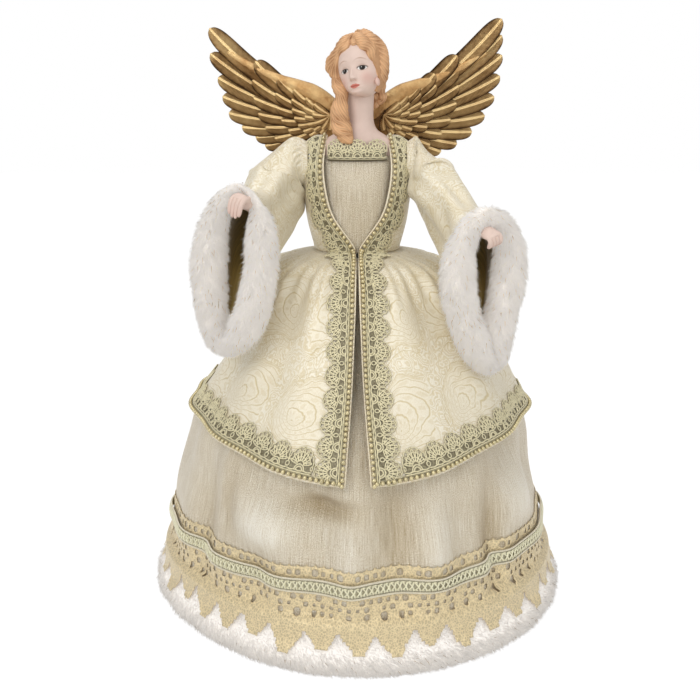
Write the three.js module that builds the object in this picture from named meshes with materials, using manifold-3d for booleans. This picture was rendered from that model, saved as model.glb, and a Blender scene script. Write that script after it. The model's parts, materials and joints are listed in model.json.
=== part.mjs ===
// Angel tree topper: a cast doll in a gown and a brocade coat, on a stiff cone that slips over the tree top.
// Millimetres, +Z up. The doll faces -Y. Left and right are as seen from the front.
import * as THREE from "three";
import { mergeVertices } from "three/addons/utils/BufferGeometryUtils.js";
import Module from "manifold-3d";

const wasm = await Module();
wasm.setup();

// Heights and lengths
const WAIST_HEIGHT = 252; // floor to the waist seam
const BODICE_HEIGHT = 79; // waist seam to the ridge of the shoulders
const COAT_LENGTH = 112; // waist seam to the coat hem at the sides and back
const COAT_CORNER_DROP = 15; // how much lower the front corners of the coat hang
const CONE_DROP = 14; // waist seam down to the top of the cone
const PLUG_LENGTH = 24; // how far the torso reaches down into the cone
const NECKLINE_DROP = 13; // shoulder ridge down to the top edge of the gown bodice
const NECK_LENGTH = 32; // shoulder ridge up into the head
const PIVOT_DROP = 20; // shoulder ridge down to the shoulder pivots
const HEAD_RISE = 47; // shoulder ridge up to the middle of the head

// Half-widths, half-depths and radii
const HEM_RADIUS = 143; // gown skirt at the floor
const COAT_HEM_RADIUS = 125; // coat skirt at its side hem
const WAIST_HALF_WIDTH = 29.5; // all waist and bust sizes are of the coat's outer face
const WAIST_HALF_DEPTH = 25;
const BUST_HALF_WIDTH = 34;
const BUST_HALF_DEPTH = 29;
const SHOULDER_HALF_WIDTH = 41;
const RIDGE_HALF_DEPTH = 5; // the shoulder ridge, front to back
const CONE_BASE_RADIUS = 64;
const CONE_TOP_RADIUS = 17;
const NECK_RADIUS = 9.3;
const FACE_HALF_WIDTH = 15;
const FACE_HALF_DEPTH = 18;
const FACE_HALF_HEIGHT = 21;
const HAIR_RADIUS = 19; // cap of hair round the head
const LOCK_RADIUS = 3.2;
const SHOULDER_BALL = 15; // rounded sleeve head
const PIVOT_OUT = 46; // shoulder pivots from the middle
const FUR_HEM_THICKNESS = 7.5;
const FUR_HEM_HEIGHT = 29;
const CUFF_ROLL = 11.5; // radius of the fur roll round each cuff
const CUFF_TOP_ROLL = { left: 3.5, right: 6.5 }; // the same, over the hand
const CUFF_FOOT_ROLL = 7.5; // the same, at the lowest point
const CUFF_SWELL = { left: 0, right: 0.2 }; // how much wider the upper half of the outline is, as a share
const CUFF_HALF_HEIGHT = 46; // middle line of the roll, along the opening
const CUFF_HALF_WIDTH = 20; // middle line of the roll, across the opening
const PEARL_RADIUS = 1.7;
const WIRE_RADIUS = 1.2;

// Wall thicknesses and clearances
const CLOTH = 1.3;
const LINING = 0.9;
const CARD = 1.6;
const STIFFENER = 1.2;
const LACE = 0.9;
const BRAID = 1.5;
const SEAT_GAP = 0.4; // between pieces that touch on the real object
const TRIM_LIFT = 1; // trims above the faceted coat
const LINING_EASE = 1.1; // between a sleeve and its lining
const ARMHOLE_EASE = 1; // round the sleeve heads, which turn
const UNDERSKIRT_EASE = 0.9; // the smooth underskirt inside the folded gown

// Trims
const LACE_WIDTH = 16; // scalloped lace on the coat edges
const SCALLOP_DEPTH = 3.5;
const SKIRT_LACE_TOP = 70; // heights above the floor
const SKIRT_LACE_POINT = 18;
const BRAID_HEIGHT = 57;
const BRAID_WIDTH = 9;
const NECK_LACE_WIDTH = 14;

// Folds and grids
const GOWN_FOLDS = 16;
const GOWN_FOLD_DEPTH = 2.2;
const COAT_FOLDS = 14;
const COAT_FOLD_DEPTH = 3;
const GOWN_COLUMNS = 4 * GOWN_FOLDS;
const COAT_COLUMNS = 4 * COAT_FOLDS;
const BODICE_COLUMNS = 20;
const UNDERSKIRT_COLUMNS = 32;
const SLEEVE_SIDES = 14;

// Wings
const WING_LENGTH = 104; // root to the tip of the longest feather
const SHORTEST_FEATHER = 48;
const WING_TOP_ANGLE = { left: 35, right: 38.5 }; // degrees above level, leading feather
const WING_FAN = { left: 71, right: 77 }; // degrees from the leading to the last feather
const WING_SWEEP = 10; // degrees back from the side
const WING_ROOT_OUT = 19;
const WING_ROOT_RISE = 12; // root above the shoulder ridge
const FEATHER_THICKNESS = 2.4;
const LUG = { inner: 6, width: 13, thickness: 4, below: 40 }; // plate that carries each wing on the back
const SCREW = { radius: 1.5, head: 3, headHeight: 1.8, length: 19, pitch: 11 };

// Arms: the middle of each cuff opening from the shoulder pivot, and where the opening faces
const CUFF_OUT = { left: 37, right: 42 };
const CUFF_DROP = { left: 61, right: 71 };
const CUFF_FORWARD = 68;
const CUFF_FACING = [0.5, -0.86, -0.1]; // for the right arm
const CUFF_LEAN = 14; // degrees, top of the opening toward the body

const SIDES = [
  { name: "left", sign: -1 },
  { name: "right", sign: 1 },
];

// Derived places
const ridgeHeight = WAIST_HEIGHT + BODICE_HEIGHT;
const necklineHeight = ridgeHeight - NECKLINE_DROP;
const pivotHeight = ridgeHeight - PIVOT_DROP;
const coneTop = WAIST_HEIGHT - CONE_DROP;
const coatHem = WAIST_HEIGHT - COAT_LENGTH;
const gownInset = CLOTH + SEAT_GAP; // outer face of the gown inside the coat
const coreInset = gownInset + CLOTH + SEAT_GAP;
const gownWaistWidth = WAIST_HALF_WIDTH - gownInset;
const gownWaistDepth = WAIST_HALF_DEPTH - gownInset;
const underskirtInset = CLOTH + SEAT_GAP + UNDERSKIRT_EASE; // from the gown's outer face
const lugFace = BUST_HALF_DEPTH + SEAT_GAP; // front face of the wing lugs, behind the coat's back
const armClear = PIVOT_OUT - SHOULDER_BALL - ARMHOLE_EASE; // inner end of each armhole, from the middle
const frontLength = COAT_LENGTH + COAT_CORNER_DROP;

const vector = (x, y, z) => new THREE.Vector3(x, y, z);
const mix = THREE.MathUtils.lerp;
const radians = THREE.MathUtils.degToRad;
const bell = (distance) => Math.exp(-distance * distance);

// Geometry helpers

// A smooth curve y(x) through points [x, y] in rising order of x.
function through(points) {
  const slope = (i) => {
    const before = points[Math.max(i - 1, 0)];
    const after = points[Math.min(i + 1, points.length - 1)];
    return (after[1] - before[1]) / (after[0] - before[0]);
  };
  return (x) => {
    let i = 0;
    while (i < points.length - 2 && x > points[i + 1][0]) i++;
    const [x0, y0] = points[i];
    const [x1, y1] = points[i + 1];
    const span = x1 - x0;
    const t = THREE.MathUtils.clamp((x - x0) / span, 0, 1);
    const rise = (y1 - y0) * t * t * (3 - 2 * t);
    return y0 + rise + span * t * (1 - t) * ((1 - t) * slope(i) - t * slope(i + 1));
  };
}

// A closed geometry from points and triangles, with its faces turned outward.
function closed(points, faces) {
  let volume = 0;
  for (let i = 0; i < faces.length; i += 3) {
    const [a, b, c] = [points[faces[i]], points[faces[i + 1]], points[faces[i + 2]]];
    volume += a.dot(vector(0, 0, 0).crossVectors(b, c));
  }
  const geometry = new THREE.BufferGeometry().setFromPoints(points);
  return geometry.setIndex(volume < 0 ? faces.toReversed() : faces);
}

// A solid through rings of points, with a fan on each end.
function loft(rings) {
  const count = rings[0].length;
  const points = rings.flat();
  const faces = [];
  for (let row = 0; row + 1 < rings.length; row++) {
    for (let i = 0; i < count; i++) {
      const a = row * count + i;
      const b = row * count + ((i + 1) % count);
      faces.push(a, b, b + count, a, b + count, a + count);
    }
  }
  const middle = (ring) => ring.reduce((sum, p) => sum.add(p), vector(0, 0, 0)).divideScalar(count);
  const start = points.push(middle(rings[0])) - 1;
  const end = points.push(middle(rings.at(-1))) - 1;
  const last = (rings.length - 1) * count;
  for (let i = 0; i < count; i++) {
    const next = (i + 1) % count;
    faces.push(start, next, i, end, last + i, last + next);
  }
  return closed(points, faces);
}

// A sheet with a wall: at(row, column, face) gives its points, face 0 inside and 1 outside.
// The columns run all round, or end in two side rims.
function sheet(rows, columns, at, allRound) {
  const across = allRound ? columns : columns + 1;
  const points = [];
  for (const face of [0, 1]) {
    for (let r = 0; r <= rows; r++) {
      for (let c = 0; c < across; c++) points.push(at(r, c, face));
    }
  }
  const index = (face, r, c) => (face * (rows + 1) + r) * across + (c % across);
  const faces = [];
  const quad = (a, b, c, d) => faces.push(a, b, c, a, c, d);
  for (let c = 0; c < columns; c++) {
    for (let r = 0; r < rows; r++) {
      quad(index(1, r, c), index(1, r, c + 1), index(1, r + 1, c + 1), index(1, r + 1, c));
      quad(index(0, r, c), index(0, r + 1, c), index(0, r + 1, c + 1), index(0, r, c + 1));
    }
    quad(index(0, 0, c), index(0, 0, c + 1), index(1, 0, c + 1), index(1, 0, c));
    quad(index(0, rows, c + 1), index(0, rows, c), index(1, rows, c), index(1, rows, c + 1));
  }
  if (!allRound) {
    for (let r = 0; r < rows; r++) {
      quad(index(0, r + 1, 0), index(0, r, 0), index(1, r, 0), index(1, r + 1, 0));
      quad(index(0, r, columns), index(0, r + 1, columns), index(1, r + 1, columns), index(1, r, columns));
    }
  }
  return closed(points, faces);
}

// A ring closed both ways: at(row, column) with both counts running all round.
function wheel(rows, columns, at) {
  const points = [];
  for (let r = 0; r < rows; r++) {
    for (let c = 0; c < columns; c++) points.push(at(r, c));
  }
  const index = (r, c) => (r % rows) * columns + (c % columns);
  const faces = [];
  for (let r = 0; r < rows; r++) {
    for (let c = 0; c < columns; c++) {
      faces.push(index(r, c), index(r, c + 1), index(r + 1, c + 1));
      faces.push(index(r, c), index(r + 1, c + 1), index(r + 1, c));
    }
  }
  return closed(points, faces);
}

// A round tube along a smooth path through points.
function tube(points, radius, sides, steps) {
  const corners = [];
  for (let i = 0; i < sides; i++) {
    const turn = (2 * Math.PI * i) / sides;
    corners.push(new THREE.Vector2(radius * Math.cos(turn), radius * Math.sin(turn)));
  }
  const path = new THREE.CatmullRomCurve3(points);
  return new THREE.ExtrudeGeometry(new THREE.Shape(corners), { extrudePath: path, steps });
}

// A ball stretched to three radii, with an optional change of radius by longitude and latitude.
// Longitude 0 faces -Y. With frontShare below 1 the columns crowd toward the front.
function ball(radii, columns, rows, swell = () => 0, frontShare = 1) {
  const ring = (row) => {
    const latitude = Math.PI * (row / rows - 0.5);
    return Array.from({ length: columns }, (_, i) => {
      const even = 2 * Math.PI * (i / columns) - Math.PI;
      const longitude = even - (1 - frontShare) * Math.sin(even);
      const out = vector(
        Math.cos(latitude) * Math.sin(longitude),
        -Math.cos(latitude) * Math.cos(longitude),
        Math.sin(latitude),
      );
      return out.clone().multiply(radii).addScaledVector(out, swell(longitude, latitude));
    });
  };
  const poleSize = 0.15; // rows, so that the end rings stay open enough to cap
  const middleRows = Array.from({ length: rows - 1 }, (_, i) => i + 1);
  return loft([poleSize, ...middleRows, rows - poleSize].map(ring));
}

function solid(geometry) {
  const bare = geometry.index ? geometry.toNonIndexed() : geometry.clone();
  for (const name of ["normal", "uv"]) bare.deleteAttribute(name);
  const merged = mergeVertices(bare, 1e-4);
  const mesh = new wasm.Mesh({
    numProp: 3,
    vertProperties: merged.attributes.position.array,
    triVerts: new Uint32Array(merged.index.array),
  });
  return new wasm.Manifold(mesh);
}

function geometryOf(body) {
  const mesh = body.getMesh();
  const geometry = new THREE.BufferGeometry();
  geometry.setAttribute("position", new THREE.BufferAttribute(mesh.vertProperties, 3));
  return geometry.setIndex(new THREE.BufferAttribute(mesh.triVerts, 1));
}

const union = (geometries) => geometries.map(solid).reduce((sum, body) => sum.add(body));
const cut = (body, geometries) => geometries.reduce((rest, tool) => rest.subtract(solid(tool)), body);
// The largest shell of a body, so that pockets sealed between overlapping pieces are filled.
const larger = (a, b) => (b.volume() > a.volume() ? b : a);
const filled = (body) => body.decompose().reduce(larger);

// Materials
const material = (color, roughness, metalness = 0) => {
  return new THREE.MeshStandardMaterial({ color, roughness, metalness });
};
const CARD_BOARD = [0xc9b694, 0.9];
const CORE_PLASTIC = [0xe6dfd0, 0.6];
const BISQUE = [0xeed8cc, 0.5];
const GILT = [0xa97c3e, 0.4, 0.8];
const STEEL = [0x9a9a98, 0.4, 1];
const LAME = [0xdfd0ae, 0.4, 0.2];
const BROCADE = [0xeae0c9, 0.6];
const GOLD_LACE = [0xa89c72, 0.7];
const SKIRT_LACE = [0xcdb47d, 0.7];
const PEARL = [0xddd2a2, 0.3];
const BRAIDED = [0xd3d3ae, 0.6];
const FUR = [0xf5f1ec, 0.95];
const SATIN = [0xb39b58, 0.5];
const STIFF_NET = [0xf2ece0, 0.8];

const part = new THREE.Group();

function place(name, shape, look, parent = part) {
  const mesh = new THREE.Mesh(shape, material(...look));
  mesh.name = name;
  parent.add(mesh);
}

// Body outlines. Angles start at the front and grow toward +X.
const round = (angle, halfWidth, halfDepth, z) => {
  return vector(halfWidth * Math.sin(angle), -halfDepth * Math.cos(angle), z);
};

const bodiceWidth = through([
  [0, WAIST_HALF_WIDTH],
  [0.48, BUST_HALF_WIDTH],
  [0.82, SHOULDER_HALF_WIDTH],
  [1, SHOULDER_HALF_WIDTH - 2],
]);
const bodiceDepth = through([
  [0, WAIST_HALF_DEPTH],
  [0.48, BUST_HALF_DEPTH],
  [0.66, BUST_HALF_DEPTH - 2],
  [0.82, 0.4 * RIDGE_HALF_DEPTH + 0.6 * BUST_HALF_DEPTH],
  [1, RIDGE_HALF_DEPTH],
]);
const BODICE_ROWS = [0, 0.24, 0.48, 0.66, 0.82, 0.91, 1]; // shares of the bodice height

function bodicePoint(angle, z, out) {
  const rise = (z - WAIST_HEIGHT) / BODICE_HEIGHT;
  return round(angle, bodiceWidth(rise) + out, bodiceDepth(rise) + out, z);
}

// Gown and torso under the coat, narrow enough at the shoulders to pass between the armholes
function underPoint(angle, z, inset) {
  const rise = (z - WAIST_HEIGHT) / BODICE_HEIGHT;
  const halfWidth = Math.min(bodiceWidth(rise), armClear + gownInset) - inset;
  return round(angle, halfWidth, bodiceDepth(rise) - inset, z);
}

// Shares of the flare from the waist to the hem, by share of the waist height
const gownFlare = through([
  [0, 1],
  [0.22, 0.98],
  [0.45, 0.86],
  [0.56, 0.75],
  [0.71, 0.47],
  [0.91, 0.25],
  [0.97, 0.14],
  [1, 0],
]);
const gownFold = through([
  [0, 0.5],
  [0.3, 0.8],
  [0.6, 1],
  [0.9, 0.5],
  [1, 0],
]);
const GOWN_ROWS = [0.99, 0.94, 0.8, 0.62, 0.47, 0.28, 0.16, 0.05];
const UNDERSKIRT_ROWS = [0.99, 0.94, 0.8, 0.62, 0.28, 0.05];

function gownPoint(angle, z, out, foldShare = Math.cos(GOWN_FOLDS * angle)) {
  const rise = z / WAIST_HEIGHT;
  const flare = gownFlare(rise);
  const extra = out + GOWN_FOLD_DEPTH * gownFold(rise) * foldShare;
  const halfWidth = mix(gownWaistWidth, HEM_RADIUS, flare);
  const halfDepth = mix(gownWaistDepth, HEM_RADIUS, flare);
  return round(angle, halfWidth + extra, halfDepth + extra, z);
}

// Shares of the coat skirt's flare, by share of its side length from the hem up
const coatFlare = through([
  [-0.2, 1.12],
  [0, 1],
  [0.2, 0.81],
  [0.4, 0.64],
  [0.6, 0.51],
  [0.8, 0.41],
  [0.93, 0.3],
  [1, 0],
]);
const coatFold = through([
  [-0.2, 0.4],
  [0.2, 0.5],
  [0.85, 1],
  [1, 0],
]);
const COAT_ROWS = [0, 0.06, 0.16, 0.38, 0.62, 0.84, 1]; // shares from the waist down to the hem

function coatSkirtPoint(angle, z, out) {
  const rise = (z - coatHem) / COAT_LENGTH;
  const flare = coatFlare(rise);
  const extra = out + COAT_FOLD_DEPTH * coatFold(rise) * Math.cos(COAT_FOLDS * angle);
  const halfWidth = mix(WAIST_HALF_WIDTH, COAT_HEM_RADIUS, flare);
  const halfDepth = mix(WAIST_HALF_DEPTH, COAT_HEM_RADIUS, flare);
  return round(angle, halfWidth + extra, halfDepth + extra, z);
}

const coatHemHeight = (angle) => coatHem - COAT_CORNER_DROP * bell(angle / radians(38));
const signedAngle = (angle) => (angle > Math.PI ? angle - 2 * Math.PI : angle);

// Half-opening of the coat front, by share of the bodice height upward and of the front length downward
const bodiceOpening = through([
  [0, 1.2],
  [0.06, 1.6],
  [0.4, 18],
  [0.7, 28],
  [1, 27],
]);
const skirtOpening = through([
  [0, 1.2],
  [0.2, 1.4],
  [0.55, 4],
  [1.1, 8.5],
]);

function coatEdgeOpening(z) {
  const above = z - WAIST_HEIGHT;
  return above >= 0 ? bodiceOpening(above / BODICE_HEIGHT) : skirtOpening(-above / frontLength);
}

function coatPoint(angle, z, out) {
  return z >= WAIST_HEIGHT ? bodicePoint(angle, z, out) : coatSkirtPoint(angle, z, out);
}

// The angle on the coat at a distance x from the middle of the front
function coatAngle(x, z) {
  const halfWidth = coatPoint(Math.PI / 2, z, 0).x;
  return Math.asin(Math.min(x / halfWidth, 0.97));
}

// The stiff inner frame
function coneFormer() {
  const at = (row, column, face) => {
    const radius = (row === 0 ? CONE_BASE_RADIUS : CONE_TOP_RADIUS) - (1 - face) * CARD;
    return round((2 * Math.PI * column) / UNDERSKIRT_COLUMNS, radius, radius, row * coneTop);
  };
  return sheet(1, UNDERSKIRT_COLUMNS, at, true);
}

function stiffUnderskirt() {
  const at = (row, column, face) => {
    const z = UNDERSKIRT_ROWS[row] * WAIST_HEIGHT;
    const out = -underskirtInset - (1 - face) * STIFFENER;
    return gownPoint((2 * Math.PI * column) / UNDERSKIRT_COLUMNS, z, out, -1);
  };
  return sheet(UNDERSKIRT_ROWS.length - 1, UNDERSKIRT_COLUMNS, at, true);
}

const pivot = (sign, height = pivotHeight) => vector(sign * PIVOT_OUT, 0, height);

function armhole(sign, spare = 0) {
  const radius = SHOULDER_BALL + ARMHOLE_EASE + spare;
  const tunnel = new THREE.CylinderGeometry(radius, radius, 2 * SHOULDER_BALL, 12).rotateZ(Math.PI / 2);
  return tunnel.translate(sign * (armClear + SHOULDER_BALL), 0, pivotHeight);
}

function shoulderWire(spare) {
  const reach = PIVOT_OUT - SHOULDER_BALL - SEAT_GAP;
  const radius = WIRE_RADIUS + spare;
  const rod = new THREE.CylinderGeometry(radius, radius, 2 * (reach + 2 * spare), 12);
  return rod.rotateZ(Math.PI / 2).translate(0, 0, pivotHeight);
}

function torsoCore() {
  const turns = Array.from({ length: BODICE_COLUMNS }, (_, i) => (2 * Math.PI * i) / BODICE_COLUMNS);
  const ring = (halfWidth, halfDepth, z) => turns.map((angle) => round(angle, halfWidth, halfDepth, z));
  const torsoRing = (rise) => {
    return turns.map((angle) => underPoint(angle, WAIST_HEIGHT + rise * BODICE_HEIGHT, coreInset));
  };
  const plug = CONE_TOP_RADIUS - CARD - SEAT_GAP;
  const bandInset = gownInset + underskirtInset + STIFFENER + SEAT_GAP;
  const band = [WAIST_HALF_WIDTH - bandInset, WAIST_HALF_DEPTH - bandInset];
  const top = (necklineHeight - WAIST_HEIGHT) / BODICE_HEIGHT;
  return loft([
    ring(plug, plug, coneTop - PLUG_LENGTH),
    ring(plug, plug, coneTop + SEAT_GAP),
    ring(...band, coneTop + SEAT_GAP + 0.2),
    ring(...band, WAIST_HEIGHT - 0.2),
    ...[0, ...BODICE_ROWS.filter((rise) => rise > 0 && rise < top), top].map(torsoRing),
  ]);
}

// Wing screws
const screwHeights = (side) => {
  const lowest = ridgeHeight - LUG.below + 6;
  return [
    { level: "lower", z: lowest, x: side.sign * (LUG.inner + LUG.width / 2) },
    { level: "upper", z: lowest + SCREW.pitch, x: side.sign * (LUG.inner + LUG.width / 2) },
  ];
};

function wingScrew(x, z) {
  const outer = lugFace + LUG.thickness + SEAT_GAP;
  const outline = [
    [0, outer - SCREW.length],
    [SCREW.radius * 0.5, outer - SCREW.length + 1],
    [SCREW.radius, outer - SCREW.length + 4],
    [SCREW.radius, outer],
    [SCREW.head, outer],
    [SCREW.head * 0.9, outer + SCREW.headHeight * 0.6],
    [0, outer + SCREW.headHeight],
  ];
  return new THREE.LatheGeometry(outline.map((p) => new THREE.Vector2(...p)), 7).translate(x, 0, z);
}

function screwBore(x, z) {
  const radius = SCREW.radius + 0.3;
  const length = SCREW.length + 6;
  const rod = new THREE.CylinderGeometry(radius, radius, length, 7);
  return rod.translate(x, lugFace + LUG.thickness - SCREW.length - 0.5 + length / 2, z);
}

const screwBores = SIDES.flatMap((side) => screwHeights(side).map(({ x, z }) => screwBore(x, z)));
const armholes = SIDES.map((side) => armhole(side.sign));

// Wings

// One feather in the wing's plane: a blade of diamond section along a bent spine, with a ridge along each face
function feather(base, bend, tip, halfWidth, thickness, twist) {
  const stations = [
    [0, 0.5, 1],
    [0.35, 0.9, 1],
    [0.75, 1, 0.8],
    [0.93, 0.68, 0.6],
    [1, 0.2, 0.3],
  ];
  const spine = new THREE.QuadraticBezierCurve3(base, bend, tip);
  const rings = stations.map(([t, widthShare, thicknessShare]) => {
    const middle = spine.getPoint(t);
    const along = spine.getTangent(t);
    const across = vector(-along.z, 0, along.x).normalize().multiplyScalar(Math.cos(twist));
    across.y = Math.sin(twist);
    const face = vector(0, (thicknessShare * thickness) / 2, 0);
    const edge = across.multiplyScalar(widthShare * halfWidth);
    const corner = (offset, sign) => middle.clone().addScaledVector(offset, sign);
    return [corner(edge, 1), corner(face, 1), corner(edge, -1), corner(face, -1)];
  });
  return loft(rings);
}

// Rows of feathers, from the long flight feathers at the back to the small ones near the root.
// Lengths and angles run from the leading feather to the last one.
const FEATHER_ROWS = [
  { count: 9, start: 0.1, reach: [1, SHORTEST_FEATHER / WING_LENGTH], halfWidth: [6, 5], forward: 0 },
  { count: 6, start: 0.04, reach: [0.56, 0.33], halfWidth: [5.6, 4.6], forward: 1.7 },
  { count: 4, start: 0.02, reach: [0.33, 0.22], halfWidth: [4.8, 4.2], forward: 3.4 },
];

function wing(side) {
  const root = vector(side.sign * WING_ROOT_OUT, lugFace + LUG.thickness / 2 + 1, ridgeHeight + WING_ROOT_RISE);
  const spot = (distance, angle, forward) => {
    const outward = distance * Math.cos(radians(angle));
    const back = outward * Math.tan(radians(WING_SWEEP));
    return root.clone().add(vector(side.sign * outward, back - forward, distance * Math.sin(radians(angle))));
  };
  const pieces = [];
  for (const row of FEATHER_ROWS) {
    for (let i = 0; i < row.count; i++) {
      const share = i / (row.count - 1);
      const angle = WING_TOP_ANGLE[side.name] - share * WING_FAN[side.name];
      const length = WING_LENGTH * mix(...row.reach, share);
      const base = spot(WING_LENGTH * row.start, angle - 25, row.forward);
      const bend = spot(0.6 * length, angle - 9, row.forward);
      const tip = spot(length, angle, row.forward);
      const twist = side.sign * radians(9);
      pieces.push(feather(base, bend, tip, mix(...row.halfWidth, share), FEATHER_THICKNESS, twist));
    }
  }
  const boss = ball(vector(9, 5, 11), 9, 5).translate(...root.toArray());
  const plateHeight = LUG.below + WING_ROOT_RISE;
  const plate = new THREE.BoxGeometry(LUG.width, LUG.thickness, plateHeight);
  const plateMiddle = side.sign * (LUG.inner + LUG.width / 2);
  plate.translate(plateMiddle, lugFace + LUG.thickness / 2, ridgeHeight - LUG.below + plateHeight / 2);
  const bores = screwHeights(side).map(({ x, z }) => screwBore(x, z));
  return geometryOf(cut(filled(union([...pieces, boss, plate])), bores));
}

// Head, hair, neck and shoulder plate: one casting
const HEAD_CENTRE = vector(3, -4, ridgeHeight + HEAD_RISE);
const HEAD_TURN = new THREE.Euler(radians(-8), radians(6), radians(-16), "ZYX"); // chin up, leaning, turned

function headAndShoulders() {
  const face = ball(vector(FACE_HALF_WIDTH, FACE_HALF_DEPTH, FACE_HALF_HEIGHT), 20, 12, faceSwell, 0.45);
  const wave = (longitude, latitude) => {
    return 0.8 * Math.sin(9 * longitude + 4 * Math.sin(3 * latitude)) * Math.cos(latitude);
  };
  const hairCap = ball(vector(HAIR_RADIUS, HAIR_RADIUS, HAIR_RADIUS + 0.5), 24, 9, wave).translate(0, 3.5, 2.5);
  const faceWindow = ball(vector(13, 16, 17), 12, 7).translate(0, -20, -4.5);
  const head = [face, geometryOf(cut(solid(hairCap), [faceWindow]))];
  const turn = new THREE.Matrix4().makeRotationFromEuler(HEAD_TURN).setPosition(HEAD_CENTRE);
  for (const piece of head) piece.applyMatrix4(turn);
  const nape = ball(vector(15, 8, 17), 10, 6).translate(HEAD_CENTRE.x, 9, HEAD_CENTRE.z - 18);
  const lock = (offsets) => {
    const path = offsets.map(([x, y, z]) => vector(x, y, HEAD_CENTRE.z + z));
    return tube(path, LOCK_RADIUS, 5, 6);
  };
  const locks = [
    lock([[-13, -4, 2], [-16, -8, -12], [-14, -11, -24], [-15, -13, -34], [-9, -18, -44]]),
    lock([[-12, 2, -6], [-17, -2, -22], [-15, -4, -36]]),
    lock([[18, 3, -4], [20, 2, -18], [17, 4, -32]]),
  ];
  return geometryOf(filled(union([shoulderPlate(), ...head, nape, ...locks])));
}

function faceSwell(longitude, latitude) {
  const [across, up] = [THREE.MathUtils.radToDeg(longitude), THREE.MathUtils.radToDeg(latitude)];
  const nose = 3.4 * bell(across / 10) * bell((up + 7) / 11);
  const chin = 1.8 * bell(across / 20) * bell((up + 50) / 13);
  const eyes = -1.2 * bell((Math.abs(across) - 24) / 11) * bell((up - 6) / 9);
  const jaw = -2.6 * bell((Math.abs(across) - 75) / 45) * bell((up + 50) / 28);
  return nose + chin + eyes + jaw;
}

function shoulderPlate() {
  const rings = [
    [33, 15.5, 0, 0, necklineHeight + SEAT_GAP],
    [27, 14.5, 0.5, -0.5, ridgeHeight - 5],
    [18, 12.5, 1, -1, ridgeHeight],
    [12, 11, 1.5, -1, ridgeHeight + 4],
    [NECK_RADIUS, NECK_RADIUS, 2, -1, ridgeHeight + 10],
    [NECK_RADIUS, NECK_RADIUS, 2.5, -2, ridgeHeight + NECK_LENGTH],
  ];
  const turns = Array.from({ length: 16 }, (_, i) => (2 * Math.PI * i) / 16);
  return loft(rings.map(([a, b, x, y, z]) => turns.map((angle) => round(angle, a, b, z).add(vector(x, y, 0)))));
}

// Gown
function gownSkirt() {
  const at = (row, column, face) => {
    return gownPoint((2 * Math.PI * column) / GOWN_COLUMNS, GOWN_ROWS[row] * WAIST_HEIGHT, (face - 1) * CLOTH);
  };
  return sheet(GOWN_ROWS.length - 1, GOWN_COLUMNS, at, true);
}

function bodiceSheet(rises, point) {
  const at = (row, column, face) => {
    const z = WAIST_HEIGHT + rises[row] * BODICE_HEIGHT;
    return point((2 * Math.PI * column) / BODICE_COLUMNS, z, (1 - face) * CLOTH);
  };
  return sheet(rises.length - 1, BODICE_COLUMNS, at, true);
}

function gownBodice() {
  const top = (necklineHeight - SEAT_GAP - WAIST_HEIGHT) / BODICE_HEIGHT;
  const rises = [...BODICE_ROWS.filter((rise) => rise < top - 0.02), top];
  const cloth = bodiceSheet(rises, (angle, z, inward) => underPoint(angle, z, gownInset + inward));
  return geometryOf(cut(solid(cloth), [...screwBores, shoulderWire(0.35)]));
}

// Lace and cord round the front of the neckline, on the gown bodice. The lace leans back as it rises.
function neckLacePoint(x, up, out) {
  const low = necklineHeight - 3;
  const inset = gownInset - SEAT_GAP - out;
  const angle = Math.asin(x / underPoint(Math.PI / 2, low, inset).x);
  return underPoint(angle, low, inset).add(vector(0, 2 * up, up * NECK_LACE_WIDTH));
}

const neckLaceReach = bodiceOpening(0.9) - 2 * PEARL_RADIUS;

function necklineLace() {
  const columns = 16;
  const at = (row, column, face) => {
    const x = mix(-neckLaceReach, neckLaceReach, column / columns);
    const top = column % 2 === 0 ? 1 - SCALLOP_DEPTH / NECK_LACE_WIDTH : 1;
    return neckLacePoint(x, row * top, face * LACE);
  };
  return sheet(1, columns, at, false);
}

function necklineCord() {
  const lift = LACE + PEARL_RADIUS;
  const xs = [-1, -0.6, -0.2, 0.2, 0.6, 1].map((share) => share * neckLaceReach);
  return tube(xs.map((x) => neckLacePoint(x, 0.1, lift)), PEARL_RADIUS * 0.7, 6, 10);
}

// Wide lace, braid and fur round the hem
const furInner = HEM_RADIUS + GOWN_FOLD_DEPTH * gownFold(0) + SEAT_GAP;
const furOuter = furInner + FUR_HEM_THICKNESS;

function furHem() {
  const outline = [
    [furInner, 0],
    [furOuter - 1.5, 0],
    [furOuter, FUR_HEM_HEIGHT * 0.3],
    [furOuter - 1, FUR_HEM_HEIGHT * 0.75],
    [furInner + FUR_HEM_THICKNESS * 0.4, FUR_HEM_HEIGHT],
    [furInner, FUR_HEM_HEIGHT * 0.9],
  ];
  return wheel(GOWN_COLUMNS, outline.length, (row, column) => {
    const [radius, z] = outline[column];
    return round((2 * Math.PI * row) / GOWN_COLUMNS, radius, radius, z);
  });
}

function skirtLace() {
  const shoulder = FUR_HEM_HEIGHT + 4;
  const lift = SEAT_GAP + 0.4;
  const at = (row, column, face) => {
    const angle = (2 * Math.PI * column) / GOWN_COLUMNS;
    if (row < 2) return gownPoint(angle, mix(SKIRT_LACE_TOP, shoulder + 12, row), lift + face * LACE);
    const notch = column % 2 === 1;
    const over = row === 2 ? mix(furInner, furOuter, 0.6) : furOuter - (notch ? 1.5 : 0);
    const radius = over + lift + face * LACE;
    const low = notch ? FUR_HEM_HEIGHT - 1 : SKIRT_LACE_POINT;
    return round(angle, radius, radius, row === 2 ? shoulder : low);
  };
  return sheet(3, GOWN_COLUMNS, at, true);
}

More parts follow.
